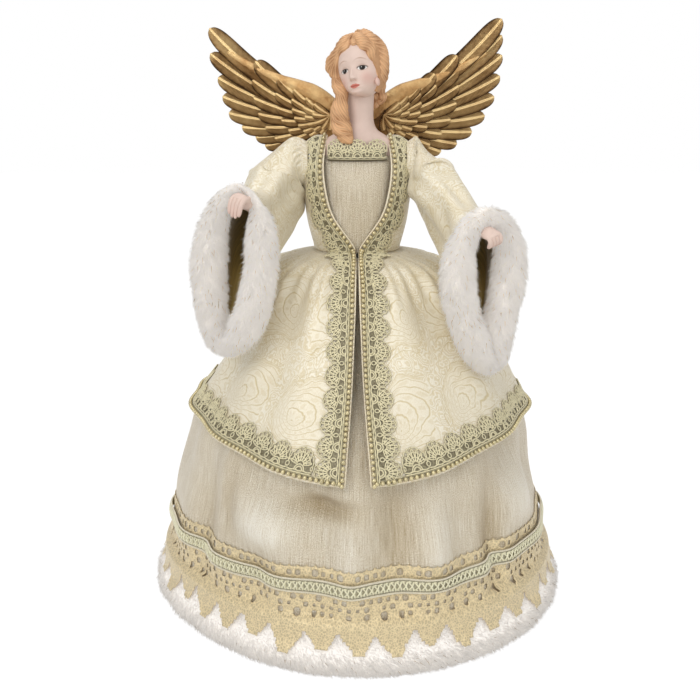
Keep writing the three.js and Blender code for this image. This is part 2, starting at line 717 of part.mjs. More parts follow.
function skirtBraid() {
  const at = (row, column, face) => {
    const z = BRAID_HEIGHT + (0.5 - row) * BRAID_WIDTH;
    const out = 2 * SEAT_GAP + 0.6 + LACE + face * BRAID;
    return gownPoint((2 * Math.PI * column) / GOWN_COLUMNS, z, out);
  };
  return sheet(1, GOWN_COLUMNS, at, true);
}

// Coat
function frontOpening() {
  const rises = [0, 0.06, 0.2, 0.4, 0.55, 0.7, 0.85, 1, 1.2];
  const below = 5; // past the lower edge of the cloth
  const edge = rises.map((rise) => {
    return [bodiceOpening(rise), WAIST_HEIGHT + rise * BODICE_HEIGHT - (rise === 0 ? below : 0)];
  });
  const outline = [...edge, ...edge.map(([x, z]) => [-x, z]).reverse()];
  const shape = new THREE.Shape(outline.map((p) => new THREE.Vector2(...p)));
  const depth = 2 * BUST_HALF_DEPTH;
  const prism = new THREE.ExtrudeGeometry(shape, { depth, bevelEnabled: false });
  return prism.rotateX(Math.PI / 2);
}

function neckHole() {
  const hole = new THREE.CylinderGeometry(1, 1, 2 * NECKLINE_DROP, 24).rotateX(Math.PI / 2);
  return hole.scale(bodiceOpening(1), 14, 1).translate(0, 2, ridgeHeight);
}

function coatBodice() {
  const cloth = bodiceSheet(BODICE_ROWS, (angle, z, inward) => bodicePoint(angle, z, -inward));
  return geometryOf(cut(solid(cloth), [frontOpening(), neckHole(), ...armholes, ...screwBores]));
}

function coatSkirt() {
  const top = WAIST_HEIGHT - SEAT_GAP;
  const at = (row, column, face) => {
    const roughAngle = (2 * Math.PI * column) / COAT_COLUMNS;
    const z = mix(top, coatHemHeight(signedAngle(roughAngle)), COAT_ROWS[row]);
    const edge = coatAngle(coatEdgeOpening(z), z);
    const angle = mix(edge, 2 * Math.PI - edge, column / COAT_COLUMNS);
    return coatSkirtPoint(angle, z, (face - 1) * CLOTH);
  };
  return sheet(COAT_ROWS.length - 1, COAT_COLUMNS, at, false);
}

// A trim's place above the coat, square to the cloth. Trims stand off more where it turns sharply at the waist.
function trimPoint(angle, z, lift) {
  const reach = 2.5;
  const across = coatPoint(angle + 0.02, z, 0).sub(coatPoint(angle - 0.02, z, 0));
  const upward = coatPoint(angle, z + reach, 0).sub(coatPoint(angle, z - reach, 0));
  const normal = across.cross(upward).normalize();
  const bridge = 2 * bell((z - WAIST_HEIGHT) / 7);
  return coatPoint(angle, z, 0).addScaledVector(normal, lift + bridge);
}

// Heights down the coat's front edge
const frontHem = coatHemHeight(0);
const EDGE_RISES = [0.93, 0.82, 0.74, 0.66, 0.57, 0.48, 0.36, 0.24, 0.12, 0.03]; // shares of the bodice height
const EDGE_FALLS = [0.06, 0.16, 0.38, 0.62, 0.84]; // shares from the waist down to the front hem
const edgeHeights = [
  ...EDGE_RISES.map((rise) => WAIST_HEIGHT + rise * BODICE_HEIGHT),
  ...EDGE_FALLS.map((share) => mix(WAIST_HEIGHT, frontHem, share)),
];
const pearlPlace = PEARL_RADIUS + 0.3; // middle of the bead string, in from the cloth edge
const laceStart = 2 * pearlPlace + SEAT_GAP; // lace edge beside the bead string

function frontPearls(sign) {
  const path = [...edgeHeights, frontHem + pearlPlace].map((z) => {
    return trimPoint(sign * coatAngle(coatEdgeOpening(z) + pearlPlace, z), z, TRIM_LIFT + PEARL_RADIUS);
  });
  return tube(path, PEARL_RADIUS, 5, 24);
}

function frontLace(sign) {
  const heights = [...edgeHeights, frontHem + laceStart + 2];
  const columns = 2;
  const at = (row, column, face) => {
    const z = heights[row];
    const width = LACE_WIDTH - (row % 2) * SCALLOP_DEPTH;
    const x = coatEdgeOpening(z) + laceStart + (column * width) / columns;
    return trimPoint(sign * coatAngle(x, z), z, TRIM_LIFT + face * LACE);
  };
  const tunnel = armhole(sign, TRIM_LIFT + LACE + 2);
  return geometryOf(cut(solid(sheet(heights.length - 1, columns, at, false)), [tunnel]));
}

// A place above the coat at a height above its hem. The string starts at the front corner, the lace past it.
const hemPoint = (angle, up, lift) => trimPoint(angle, coatHemHeight(signedAngle(angle)) + up, lift);
const hemAngle = (sign, start, share) => sign * mix(start, Math.PI - radians(0.4), share);
const cornerAngle = coatAngle(coatEdgeOpening(frontHem) + laceStart, frontHem);
const hemLaceAngle = coatAngle(coatEdgeOpening(frontHem) + laceStart + LACE_WIDTH + 4, frontHem);

function hemPearls(sign) {
  const steps = 22;
  const shares = Array.from({ length: steps + 1 }, (_, i) => i / steps);
  const path = shares.map((share) => {
    return hemPoint(hemAngle(sign, cornerAngle, share), pearlPlace, TRIM_LIFT + PEARL_RADIUS);
  });
  return tube(path, PEARL_RADIUS, 5, steps);
}

function hemLace(sign) {
  const columns = 24;
  const at = (row, column, face) => {
    const width = LACE_WIDTH - (column % 2) * SCALLOP_DEPTH;
    const angle = hemAngle(sign, hemLaceAngle, column / columns);
    return hemPoint(angle, laceStart + row * width, TRIM_LIFT + face * LACE);
  };
  return sheet(1, columns, at, false);
}

// Arms: each cuff opening has a facing, an up and an inward direction
function armFrame(side) {
  const facing = vector(side.sign * CUFF_FACING[0], CUFF_FACING[1], CUFF_FACING[2]).normalize();
  const upright = vector(0, 0, 1).projectOnPlane(facing).normalize();
  const up = upright.applyAxisAngle(facing, radians(side.sign * CUFF_LEAN));
  const inward = vector(0, 0, 0).crossVectors(up, facing).multiplyScalar(side.sign);
  const shoulder = pivot(side.sign);
  const reach = vector(side.sign * CUFF_OUT[side.name], -CUFF_FORWARD, -CUFF_DROP[side.name]);
  const centre = shoulder.clone().add(reach);
  const elbow = vector(0.3 * reach.x, 0.18 * reach.y, 0.4 * reach.z);
  const bend = shoulder.clone().add(elbow);
  const path = new THREE.QuadraticBezierCurve3(shoulder, bend, centre);
  return { ...side, facing, up, inward, shoulder, centre, path };
}

const spotIn = (arm, facing, up, inward) => {
  const spot = arm.centre.clone().addScaledVector(arm.facing, facing);
  return spot.addScaledVector(arm.up, up).addScaledVector(arm.inward, inward);
};

// Shares of the growth from the sleeve head to the cuff, by share of the way
const sleeveGrowth = through([
  [0, 0],
  [0.2, 0.2],
  [0.4, 0.37],
  [0.6, 0.49],
  [0.8, 0.62],
  [1, 1],
]);
const sleeveHead = SHOULDER_BALL - 0.5; // turns inside the armhole
const sleeveHeight = (t) => mix(sleeveHead, CUFF_HALF_HEIGHT, sleeveGrowth(t));
const sleeveWidth = (t) => mix(sleeveHead, CUFF_HALF_WIDTH, t);

function ovalRing(middle, up, across, halfHeight, halfWidth) {
  return Array.from({ length: SLEEVE_SIDES }, (_, i) => {
    const turn = (2 * Math.PI * i) / SLEEVE_SIDES;
    const spot = middle.clone().addScaledVector(up, Math.cos(turn) * halfHeight);
    return spot.addScaledVector(across, Math.sin(turn) * halfWidth);
  });
}

function sleeveRing(arm, t, inset) {
  const along = arm.path.getTangent(t).lerp(arm.facing, THREE.MathUtils.smoothstep(t, 0.1, 1)).normalize();
  const upright = vector(0, 0, 1).projectOnPlane(along).normalize();
  const up = upright.applyAxisAngle(along, radians(arm.sign * CUFF_LEAN * t));
  const across = vector(0, 0, 0).crossVectors(along, up);
  return ovalRing(arm.path.getPoint(t), up, across, sleeveHeight(t) - inset, sleeveWidth(t) - inset);
}

// One place round a cuff: the roll's radius, its middle (up, across) and the direction away from the opening
function cuffPlace(arm, turn) {
  const top = bell(signedAngle(turn) / radians(55));
  const foot = bell(signedAngle(turn + Math.PI) / radians(45));
  const thinner = top * (CUFF_ROLL - CUFF_TOP_ROLL[arm.name]) + foot * (CUFF_ROLL - CUFF_FOOT_ROLL);
  const radius = CUFF_ROLL - thinner;
  const tall = CUFF_HALF_HEIGHT + CUFF_ROLL;
  const wide = (CUFF_HALF_WIDTH + CUFF_ROLL) * (1 + CUFF_SWELL[arm.name] * Math.cos(turn));
  const outward = new THREE.Vector2(wide * Math.cos(turn), tall * Math.sin(turn)).normalize();
  const outline = new THREE.Vector2(tall * Math.cos(turn), wide * Math.sin(turn));
  return { radius, middle: outline.addScaledVector(outward, -radius), outward };
}

// The last ring of a sleeve, just behind the middle of the fur roll
function sleeveMouthRing(arm, inset) {
  return Array.from({ length: SLEEVE_SIDES }, (_, i) => {
    const { radius, middle, outward } = cuffPlace(arm, (2 * Math.PI * i) / SLEEVE_SIDES);
    const edge = middle.addScaledVector(outward, -inset);
    return spotIn(arm, -radius - SEAT_GAP, edge.x, -arm.sign * edge.y);
  });
}

// The rounded head of a sleeve: the first ring of the sleeve, drawn in toward the pivot's far side
function sleeveHeadRing(arm, slope) {
  const back = arm.path.getTangent(0).multiplyScalar(-SHOULDER_BALL * Math.sin(radians(slope)));
  const share = Math.cos(radians(slope));
  return sleeveRing(arm, 0, 0).map((p) => arm.shoulder.clone().lerp(p, share).add(back));
}

const SLEEVE_STATIONS = [0, 0.2, 0.4, 0.6, 0.76];
const SLEEVE_HOLLOW = 0.14; // where the hollow starts along the sleeve
const LINING_MOUTH = 0.8; // how much more the lining is drawn in at the mouth

// A fur roll round the opening, thinner over the hand and at its foot, with an even outline
function cuffRoll(arm) {
  const [turns, sides] = [18, 8];
  return wheel(turns, sides, (row, column) => {
    const turn = (2 * Math.PI * (row + 0.5)) / turns;
    const roll = (2 * Math.PI * column) / sides;
    const { radius, middle, outward } = cuffPlace(arm, turn);
    const spot = middle.addScaledVector(outward, radius * Math.cos(roll));
    return spotIn(arm, radius * Math.sin(roll), spot.x, spot.y);
  });
}

// Back of the hand above the middle of the opening, just under the fur
const HAND_RISE = { left: 45, right: 37 };

// The wire runs from the shoulder pivot down the middle of the sleeve into the wrist.
function armWire(arm, spare) {
  const start = arm.shoulder.clone().addScaledVector(arm.path.getTangent(0), -spare);
  const wrist = [spotIn(arm, -20, 19, 0), spotIn(arm, -2 + spare, HAND_RISE[arm.name] - 3, 0)];
  const points = [start, arm.path.getPoint(0.3), arm.path.getPoint(0.6), ...wrist];
  return tube(points, WIRE_RADIUS + spare, 6, 9);
}

function sleeve(arm) {
  const head = [70, 40].map((slope) => sleeveHeadRing(arm, slope));
  const outside = [...SLEEVE_STATIONS.map((t) => sleeveRing(arm, t, 0)), sleeveMouthRing(arm, 0)];
  const hollow = [SLEEVE_HOLLOW, ...SLEEVE_STATIONS.slice(1)].map((t) => sleeveRing(arm, t, CLOTH));
  const cup = loft([...head, ...outside, sleeveMouthRing(arm, CLOTH), ...hollow.reverse()]);
  return geometryOf(cut(solid(cup), [armWire(arm, 0.4)]));
}

function sleeveLining(arm) {
  const faces = [0, 1].map((face) => {
    const inset = CLOTH + LINING_EASE + (1 - face) * LINING;
    return [...SLEEVE_STATIONS.slice(1).map((t) => sleeveRing(arm, t, inset)), sleeveMouthRing(arm, inset + LINING_MOUTH)];
  });
  return sheet(faces[0].length - 1, SLEEVE_SIDES, (row, column, face) => faces[face][row][column], true);
}

// A hand that reaches out under the fur. The left fingers hang down, and the right ones are curled.
function hand(arm) {
  const rise = HAND_RISE[arm.name];
  // Stations from the wrist to the knuckles: facing, up from the back of the hand, half-width, half-thickness
  const stations = [
    [-12, -7, 4.2, 3.8],
    [-3, -3, 4, 3.7],
    [6, 0, 5, 3.8],
    [12, -0.5, 5.4, 3],
  ];
  const palm = stations.map(([facing, up, halfWidth, halfThickness]) => {
    return Array.from({ length: 8 }, (_, i) => {
      const turn = (2 * Math.PI * i) / 8;
      const lift = halfThickness * Math.sin(turn);
      return spotIn(arm, facing + 0.35 * lift, rise + up + lift, halfWidth * Math.cos(turn));
    });
  });
  const digit = (spots) => {
    return tube(spots.map(([facing, up, across]) => spotIn(arm, facing, rise + up, across)), 1.6, 5, 3);
  };
  const fingers = [-3.9, -1.3, 1.3, 3.9].map((across, i) => {
    const length = 9 + 0.8 * i * (3 - i);
    const hanging = [[9, -0.5, across], [15, -1.5, across], [16.5, -1.5 - length, across]];
    const curled = [[9, -0.5, across], [14.5, -3.5, across], [11, -8, across]];
    return digit(arm.name === "left" ? hanging : curled);
  });
  const thumb = digit([[4, -2, 3.5], [8, -5, 5.6], [11, -8, 4.6]]);
  return geometryOf(cut(union([loft(palm), thumb, ...fingers]), [armWire(arm, 0.35)]));
}

// Assembly
place("cone_former", coneFormer(), CARD_BOARD);
place("torso_core", geometryOf(cut(solid(torsoCore()), [...screwBores, shoulderWire(0.35)])), CORE_PLASTIC);
place("shoulder_wire", shoulderWire(0), STEEL);
place("head_and_shoulders", headAndShoulders(), BISQUE);
place("stiff_underskirt", stiffUnderskirt(), STIFF_NET);
place("gown_skirt", gownSkirt(), LAME);
place("gown_bodice", gownBodice(), LAME);
place("neckline_lace", necklineLace(), GOLD_LACE);
place("neckline_cord", necklineCord(), PEARL);
place("fur_hem", furHem(), FUR);
place("skirt_lace", skirtLace(), SKIRT_LACE);
place("skirt_braid", skirtBraid(), BRAIDED);
place("coat_bodice", coatBodice(), BROCADE);
place("coat_skirt", coatSkirt(), BROCADE);

for (const side of SIDES) {
  place(`wing_${side.name}`, wing(side), GILT);
  for (const { level, x, z } of screwHeights(side)) {
    place(`wing_screw_${side.name}_${level}`, wingScrew(x, z), STEEL);
  }
  place(`front_lace_${side.name}`, frontLace(side.sign), GOLD_LACE);
  place(`front_pearls_${side.name}`, frontPearls(side.sign), PEARL);
  place(`hem_lace_${side.name}`, hemLace(side.sign), GOLD_LACE);
  place(`hem_pearls_${side.name}`, hemPearls(side.sign), PEARL);

  const arm = armFrame(side);
  place(`sleeve_${side.name}`, sleeve(arm), BROCADE);
  place(`sleeve_lining_${side.name}`, sleeveLining(arm), SATIN);
  place(`fur_cuff_${side.name}`, cuffRoll(arm), FUR);
  place(`arm_wire_${side.name}`, armWire(arm, 0), STEEL);
  place(`hand_${side.name}`, hand(arm), BISQUE);
}

export default part;
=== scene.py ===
"""Angel tree topper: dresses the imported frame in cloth, lace, beads, fur, cast wings and a painted head."""

import json
import math

import bpy
import numpy as np
from bpy.props import FloatProperty, FloatVectorProperty, IntProperty, PointerProperty
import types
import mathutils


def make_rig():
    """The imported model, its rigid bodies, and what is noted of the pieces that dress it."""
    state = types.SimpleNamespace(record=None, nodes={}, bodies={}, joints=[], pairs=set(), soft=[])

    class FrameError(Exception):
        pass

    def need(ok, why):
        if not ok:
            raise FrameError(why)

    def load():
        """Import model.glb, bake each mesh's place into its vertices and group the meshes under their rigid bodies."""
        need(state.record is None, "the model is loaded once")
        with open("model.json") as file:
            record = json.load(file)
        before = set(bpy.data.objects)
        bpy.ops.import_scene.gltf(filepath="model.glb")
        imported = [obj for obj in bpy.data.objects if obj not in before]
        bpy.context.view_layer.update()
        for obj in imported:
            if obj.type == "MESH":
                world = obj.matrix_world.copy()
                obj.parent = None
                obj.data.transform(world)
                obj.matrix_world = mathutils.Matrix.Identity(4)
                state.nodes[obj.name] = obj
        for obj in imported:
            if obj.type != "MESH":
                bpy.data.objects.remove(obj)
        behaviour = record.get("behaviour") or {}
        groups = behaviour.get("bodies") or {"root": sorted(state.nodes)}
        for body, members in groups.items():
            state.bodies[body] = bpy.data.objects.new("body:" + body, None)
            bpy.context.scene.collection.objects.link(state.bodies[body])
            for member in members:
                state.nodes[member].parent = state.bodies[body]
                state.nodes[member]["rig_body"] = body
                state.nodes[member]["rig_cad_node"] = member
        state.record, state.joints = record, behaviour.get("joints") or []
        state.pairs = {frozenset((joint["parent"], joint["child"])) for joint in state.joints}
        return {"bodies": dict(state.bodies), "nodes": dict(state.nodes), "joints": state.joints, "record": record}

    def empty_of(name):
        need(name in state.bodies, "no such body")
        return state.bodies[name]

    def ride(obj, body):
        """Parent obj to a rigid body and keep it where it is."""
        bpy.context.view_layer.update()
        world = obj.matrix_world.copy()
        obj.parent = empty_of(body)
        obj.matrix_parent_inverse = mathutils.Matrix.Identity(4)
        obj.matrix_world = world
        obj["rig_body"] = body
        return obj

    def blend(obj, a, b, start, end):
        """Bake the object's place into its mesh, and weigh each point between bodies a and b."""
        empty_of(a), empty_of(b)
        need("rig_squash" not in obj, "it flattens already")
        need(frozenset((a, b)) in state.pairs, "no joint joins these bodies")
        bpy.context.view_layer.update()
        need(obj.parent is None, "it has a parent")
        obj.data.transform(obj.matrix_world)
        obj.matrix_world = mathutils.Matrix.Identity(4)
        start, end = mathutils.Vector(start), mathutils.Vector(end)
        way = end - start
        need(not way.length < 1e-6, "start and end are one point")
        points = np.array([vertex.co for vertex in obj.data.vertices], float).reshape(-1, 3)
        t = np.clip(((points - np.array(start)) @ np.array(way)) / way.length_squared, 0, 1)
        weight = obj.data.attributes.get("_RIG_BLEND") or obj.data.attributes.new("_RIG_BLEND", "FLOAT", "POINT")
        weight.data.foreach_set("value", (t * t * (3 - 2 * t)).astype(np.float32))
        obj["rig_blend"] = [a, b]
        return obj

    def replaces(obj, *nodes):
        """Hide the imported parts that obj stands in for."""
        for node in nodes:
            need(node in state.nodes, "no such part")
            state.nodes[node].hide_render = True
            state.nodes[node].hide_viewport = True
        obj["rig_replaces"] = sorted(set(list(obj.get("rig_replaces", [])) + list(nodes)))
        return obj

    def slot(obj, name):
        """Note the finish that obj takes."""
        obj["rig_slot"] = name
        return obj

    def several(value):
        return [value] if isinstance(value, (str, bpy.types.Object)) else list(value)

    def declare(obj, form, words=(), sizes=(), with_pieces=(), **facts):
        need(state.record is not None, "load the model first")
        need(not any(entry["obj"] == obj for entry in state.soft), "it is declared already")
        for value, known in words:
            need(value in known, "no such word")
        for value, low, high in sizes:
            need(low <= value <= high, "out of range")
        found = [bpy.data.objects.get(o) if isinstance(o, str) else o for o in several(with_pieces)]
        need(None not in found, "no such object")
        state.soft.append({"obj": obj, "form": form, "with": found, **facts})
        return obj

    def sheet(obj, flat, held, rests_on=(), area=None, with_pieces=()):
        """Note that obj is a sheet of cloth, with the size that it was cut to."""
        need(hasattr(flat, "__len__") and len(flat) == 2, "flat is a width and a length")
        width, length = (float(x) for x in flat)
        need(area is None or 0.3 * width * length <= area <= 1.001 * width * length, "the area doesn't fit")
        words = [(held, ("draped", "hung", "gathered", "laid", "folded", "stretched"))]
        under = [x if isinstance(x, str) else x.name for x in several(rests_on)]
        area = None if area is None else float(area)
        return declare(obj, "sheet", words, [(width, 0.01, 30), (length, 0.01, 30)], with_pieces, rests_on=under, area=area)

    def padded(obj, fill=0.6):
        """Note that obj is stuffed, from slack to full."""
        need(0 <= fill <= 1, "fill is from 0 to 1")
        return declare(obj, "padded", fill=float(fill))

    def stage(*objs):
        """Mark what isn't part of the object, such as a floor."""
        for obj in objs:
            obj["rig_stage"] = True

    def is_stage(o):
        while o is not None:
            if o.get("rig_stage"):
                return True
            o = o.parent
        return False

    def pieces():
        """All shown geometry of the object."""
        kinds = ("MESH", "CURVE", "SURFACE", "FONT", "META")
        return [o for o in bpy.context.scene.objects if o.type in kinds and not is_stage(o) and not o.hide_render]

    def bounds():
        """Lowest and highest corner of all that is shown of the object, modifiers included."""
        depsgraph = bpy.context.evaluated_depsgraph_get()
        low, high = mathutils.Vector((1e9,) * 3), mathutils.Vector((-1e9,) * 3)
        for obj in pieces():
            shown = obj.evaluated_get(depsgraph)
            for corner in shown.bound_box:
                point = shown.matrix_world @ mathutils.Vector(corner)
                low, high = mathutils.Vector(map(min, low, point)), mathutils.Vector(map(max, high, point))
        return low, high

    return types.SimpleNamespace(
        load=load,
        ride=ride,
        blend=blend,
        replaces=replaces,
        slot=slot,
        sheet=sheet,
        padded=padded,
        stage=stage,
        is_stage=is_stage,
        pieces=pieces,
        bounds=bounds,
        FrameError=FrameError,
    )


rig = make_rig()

bl_info = {
    "name": "Angel Tree Topper",
    "version": (1, 0, 0),
    "blender": (4, 5, 0),
    "location": "3D View > Sidebar > Angel",
    "description": "Dresses the packed frame of an angel tree topper",
    "category": "Object",
}

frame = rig.load()
FRAME_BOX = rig.bounds()
MM = 0.001
TURN = 2 * np.pi
SIDES = (("left", -1), ("right", 1))
FUR_GAP = 1.5
# Values round a lace cord's four sides: painted highlight on the outer crown, painted shade on the back that faces the
# cloth.
CORD_LIGHT_AND_SHADE = 0.2 + 0.7 * np.array([1, 0.3, 0, 0.3])


# Settings


def length(name, millimetres, description):
    """A size that is given in millimetres and kept in metres."""
    return FloatProperty(name=name, description=description, default=millimetres * MM, min=0, unit="LENGTH")


def angle(name, degrees, description):
    """A turn that is given in degrees and kept in radians."""
    return FloatProperty(name=name, description=description, default=math.radians(degrees), subtype="ANGLE")


def count(name, default, description):
    """A whole number of like things."""
    return IntProperty(name=name, description=description, default=default, min=1)


def colour(name, levels, description):
    """A colour that is given in display levels from 0 to 255 and kept as light."""
    light = [((level / 255 + 0.055) / 1.055) ** 2.4 for level in levels]
    return FloatVectorProperty(
        name=name, description=description, default=light, min=0, max=1, subtype="COLOR")


class DressSizes(bpy.types.PropertyGroup):
    """Sizes of the gown and the coat."""

    waist_height: length("Waist height", 252, "Floor to the waist seam")
    bodice_height: length("Bodice height", 79, "Waist seam to the ridge of the shoulders")
    hem_radius: length("Hem radius", 143, "Gown at the floor")
    coat_length: length("Coat length", 112, "Waist seam to the coat hem at the sides")
    coat_hem_radius: length("Coat hem radius", 125, "Coat at its side hem")
    corner_drop: length("Corner drop", 15, "How much lower the front corners of the coat hang")
    waist_half_width: length("Waist half-width", 29.5, "Outer face of the coat at the waist, side to side")
    waist_half_depth: length("Waist half-depth", 25, "Outer face of the coat at the waist, front to back")
    gown_inset: length("Gown inset", 1.7, "Gown inside the coat")
    neckline_drop: length("Neckline drop", 13, "Shoulder ridge down to the top edge of the gown")
    gown_folds: count("Gown folds", 16, "Folds round the gown")
    coat_folds: count("Coat folds", 14, "Folds round the coat")


class TrimSizes(bpy.types.PropertyGroup):
    """Sizes of the lace, beads, braid and fur."""

    pearl_radius: length("Pearl radius", 1.5, "Beads along the coat edges")
    pearl_pitch: length("Pearl pitch", 3.6, "From bead to bead")
    lace_repeat: length("Lace repeat", 16.5, "One scallop of the coat lace")
    lace_width: length("Lace width", 16.5, "Coat lace from its foot to the tip of a scallop")
    lace_thread: length("Lace thread", 0.5, "Radius of the coat lace's cords")
    skirt_lace_top: length("Skirt lace top", 70, "Top edge of the wide lace above the floor")
    skirt_lace_points: count("Skirt lace points", 38, "Points round the wide lace")
    braid_height: length("Braid height", 57, "Middle of the braid above the floor")
    braid_width: length("Braid width", 8.5, "Braid from edge to edge")
    fur_height: length("Fur height", 29, "Fur band round the hem")
    fur_thickness: length("Fur thickness", 7.5, "Fur band round the hem")
    cuff_roll: length("Cuff roll", 11.5, "Radius of the fur round the cuffs")
    left_top_roll: length("Left cuff roll over the hand", 3.5, "The same, over the left hand")
    right_top_roll: length("Right cuff roll over the hand", 6.5, "The same, over the right hand")
    cuff_foot_roll: length("Cuff roll at the foot", 7.5, "The same, at the lowest point")
    pile: length("Fur pile", 6.5, "Length of the fur")


class FigureSizes(bpy.types.PropertyGroup):
    """Sizes of the wings, the arms and the head."""

    wing_length: length("Wing length", 104, "Root to the tip of the longest feather")
    left_wing_top: angle("Left wing angle", 34.5, "Leading feather of the left wing above level")
    right_wing_top: angle("Right wing angle", 38, "Leading feather of the right wing above level")
    left_wing_fan: angle("Left wing fan", 68, "Leading to last feather of the left wing")
    right_wing_fan: angle("Right wing fan", 70, "Leading to last feather of the right wing")
    pivot_out: length("Pivot distance", 46, "Shoulder pivots from the middle")
    pivot_drop: length("Pivot drop", 20, "Shoulder ridge down to the shoulder pivots")
    shoulder_ball: length("Sleeve head", 15, "Radius of the rounded sleeve head")
    cuff_half_height: length("Cuff half-height", 46, "Middle line of the fur roll, along the opening")
    cuff_half_width: length("Cuff half-width", 20, "Middle line of the fur roll, across the opening")
    head_rise: length("Head rise", 47, "Shoulder ridge up to the middle of the head")
    neck_radius: length("Neck radius", 9.3, "Radius of the neck")


class Colours(bpy.types.PropertyGroup):
    """Colours of the finishes."""

    lame: colour("Gown", (214, 200, 173), "Champagne cloth of the gown")
    # Gown slubs and gown shade also carry the painted highlight on the gown's swellings and the painted shade in its
    # hollows.
    lame_light: colour("Gown slubs", (248, 243, 230), "Bright threads of the gown")
    lame_dark: colour("Gown shade", (170, 149, 113), "Dull threads of the gown")
    brocade: colour("Coat", (229, 219, 194), "Ground of the brocade")
    brocade_motif: colour("Coat motif", (243, 238, 224), "Raised figure of the brocade")
    brocade_gold: colour("Coat gold", (206, 188, 144), "Gold yarn of the brocade")
    guipure: colour("Coat lace", (206, 197, 163), "Cords of the coat lace")
    # Coat lace shade is the painted shade on the backs of the lace cords; the neck cord takes it as its own colour.
    guipure_dark: colour("Coat lace shade", (84, 74, 46), "Hollows of the coat lace")
    pearl: colour("Pearls", (214, 200, 156), "Beads")
    piping: colour("Piping", (236, 222, 194), "Folded edge of the coat")
    skirt_lace: colour("Skirt lace", (214, 196, 156), "Wide lace round the hem")
    braid: colour("Braid", (224, 216, 186), "Looped chain of the braid")
    braid_edge: colour("Braid edge", (238, 230, 208), "Rope edges of the braid")
    fur: colour("Fur", (251, 246, 240), "White pile")
    fleck: colour("Flecks", (168, 138, 88), "Gold hairs in the fur")
    lining: colour("Lining", (168, 145, 84), "Satin inside the sleeves")
    skin: colour("Skin", (221, 197, 184), "Painted bisque")
    cheek: colour("Cheeks", (214, 163, 149), "Blush")
    lips: colour("Lips", (203, 108, 92), "Painted lips")
    hair: colour("Hair", (196, 152, 110), "Moulded hair")
    hair_dark: colour("Hair shade", (158, 106, 64), "Hollows of the hair")
    gilt: colour("Wing gilt", (192, 150, 98), "Antique gold")
    # Wing edges is also the painted highlight at the feather tips, and wing hollows the painted shadow along the
    # feather edges where they overlap.
    gilt_light: colour("Wing edges", (244, 214, 156), "Rubbed edges of the wings")
    gilt_dark: colour("Wing hollows", (62, 38, 14), "Brown wash in the hollows")


# Number helpers


def bell(x):
    """A bump of height 1: e to the minus x squared."""
    return np.exp(-np.square(x))


def blend_in(low, high, x):
    """Rises smoothly from 0 at low to 1 at high."""
    t = np.clip((x - low) / (high - low), 0, 1)
    return t * t * (3 - 2 * t)


def mix(a, b, share):
    """Straight mix from a to b."""
    return a + (b - a) * share


def unit(vectors):
    """Vectors of length 1."""
    return vectors / np.maximum(np.linalg.norm(vectors, axis=-1, keepdims=True), 1e-9)


def signed(turn):
    """An angle brought between minus and plus half a turn."""
    return np.arctan2(np.sin(turn), np.cos(turn))


def turns(number):
    """Even angles all round, from 0 up."""
    return TURN * np.arange(number) / number


def spin(vectors, axis, turn):
    """Vectors turned round a unit axis."""
    axis = np.asarray(axis, float)
    along = np.sum(vectors * axis, -1, keepdims=True) * axis
    return along + (vectors - along) * math.cos(turn) + np.cross(axis, vectors) * math.sin(turn)


def through(*points):
    """A smooth curve y(x) through points: cubic pieces whose slopes join each point's two neighbours."""
    xs, ys = np.array(points, float).T
    order = np.arange(len(xs))
    before, after = np.maximum(order - 1, 0), np.minimum(order + 1, len(xs) - 1)
    slopes = (ys[after] - ys[before]) / (xs[after] - xs[before])

    def curve(x):
        i = np.clip(np.searchsorted(xs, x, side="right") - 1, 0, len(xs) - 2)
        span = xs[i + 1] - xs[i]
        t = np.clip((x - xs[i]) / span, 0, 1)
        rise = (ys[i + 1] - ys[i]) * t * t * (3 - 2 * t)
        return ys[i] + rise + span * t * (1 - t) * ((1 - t) * slopes[i] - t * slopes[i + 1])

    return curve


def smooth_rows(stations, rows):
    """Rows of points on smooth cubic curves through a few stations, evenly spaced by station number."""
    stations = np.asarray(stations, float)
    last = len(stations) - 1
    place = np.linspace(0, last, rows)
    i = np.minimum(place.astype(int), last - 1)
    t = (place - i).reshape((-1,) + (1,) * (stations.ndim - 1))
    a, b = stations[i], stations[i + 1]
    before, after = stations[np.maximum(i - 1, 0)], stations[np.minimum(i + 2, last)]
    start, end = (b - before) / 2, (after - a) / 2
    return a + t * (start + t * (3 * (b - a) - 2 * start - end + t * (start + end - 2 * (b - a))))


def travelled(path):
    """Distance along a path of points, from its start."""
    steps = np.linalg.norm(np.diff(path, axis=0), axis=-1)
    return np.concatenate([[0], np.cumsum(steps)])


def at_distances(stops, distance, path):
    """Places on a path, or values along it, at set distances from its start."""
    return np.stack([np.interp(stops, distance, path[:, k]) for k in range(3)], -1)


def even_steps(path, step):
    """Points a set step apart along a path."""
    distance = travelled(path)
    stops = np.linspace(0, distance[-1], max(int(round(distance[-1] / step)), 1) + 1)
    return at_distances(stops, distance, path)


def grid_normals(points, wrap=False):
    """Outward normals of a grid: the column step crossed with the row step. Wrapped columns run all round."""
    padded = np.concatenate([points[:, -1:], points, points[:, :1]], 1) if wrap else points
    across = np.gradient(padded, axis=1)
    across = across[:, 1:-1] if wrap else across
    return unit(np.cross(across, np.gradient(points, axis=0)))


def tubes(paths, normals, radii, sides):
    """Round sections carried along paths: each ring is the path point plus the radius times cosine and
    sine of the turn on two directions square to the path. The end rings close to a point."""
    along = unit(np.gradient(paths, axis=-2))
    across = unit(np.cross(along, normals))
    lift = np.cross(across, along)
    radii = np.broadcast_to(radii, paths.shape[:-1])
    ends = np.zeros_like(radii[..., :1])
    radii = np.concatenate([ends, radii, ends], -1)[..., None, None]

    def capped(values):
        return np.concatenate([values[..., :1, :], values, values[..., -1:, :]], -2)[..., None, :]

    turn = turns(sides)[:, None]
    section = np.cos(turn) * capped(lift) + np.sin(turn) * capped(across)
    return capped(paths) + radii * section


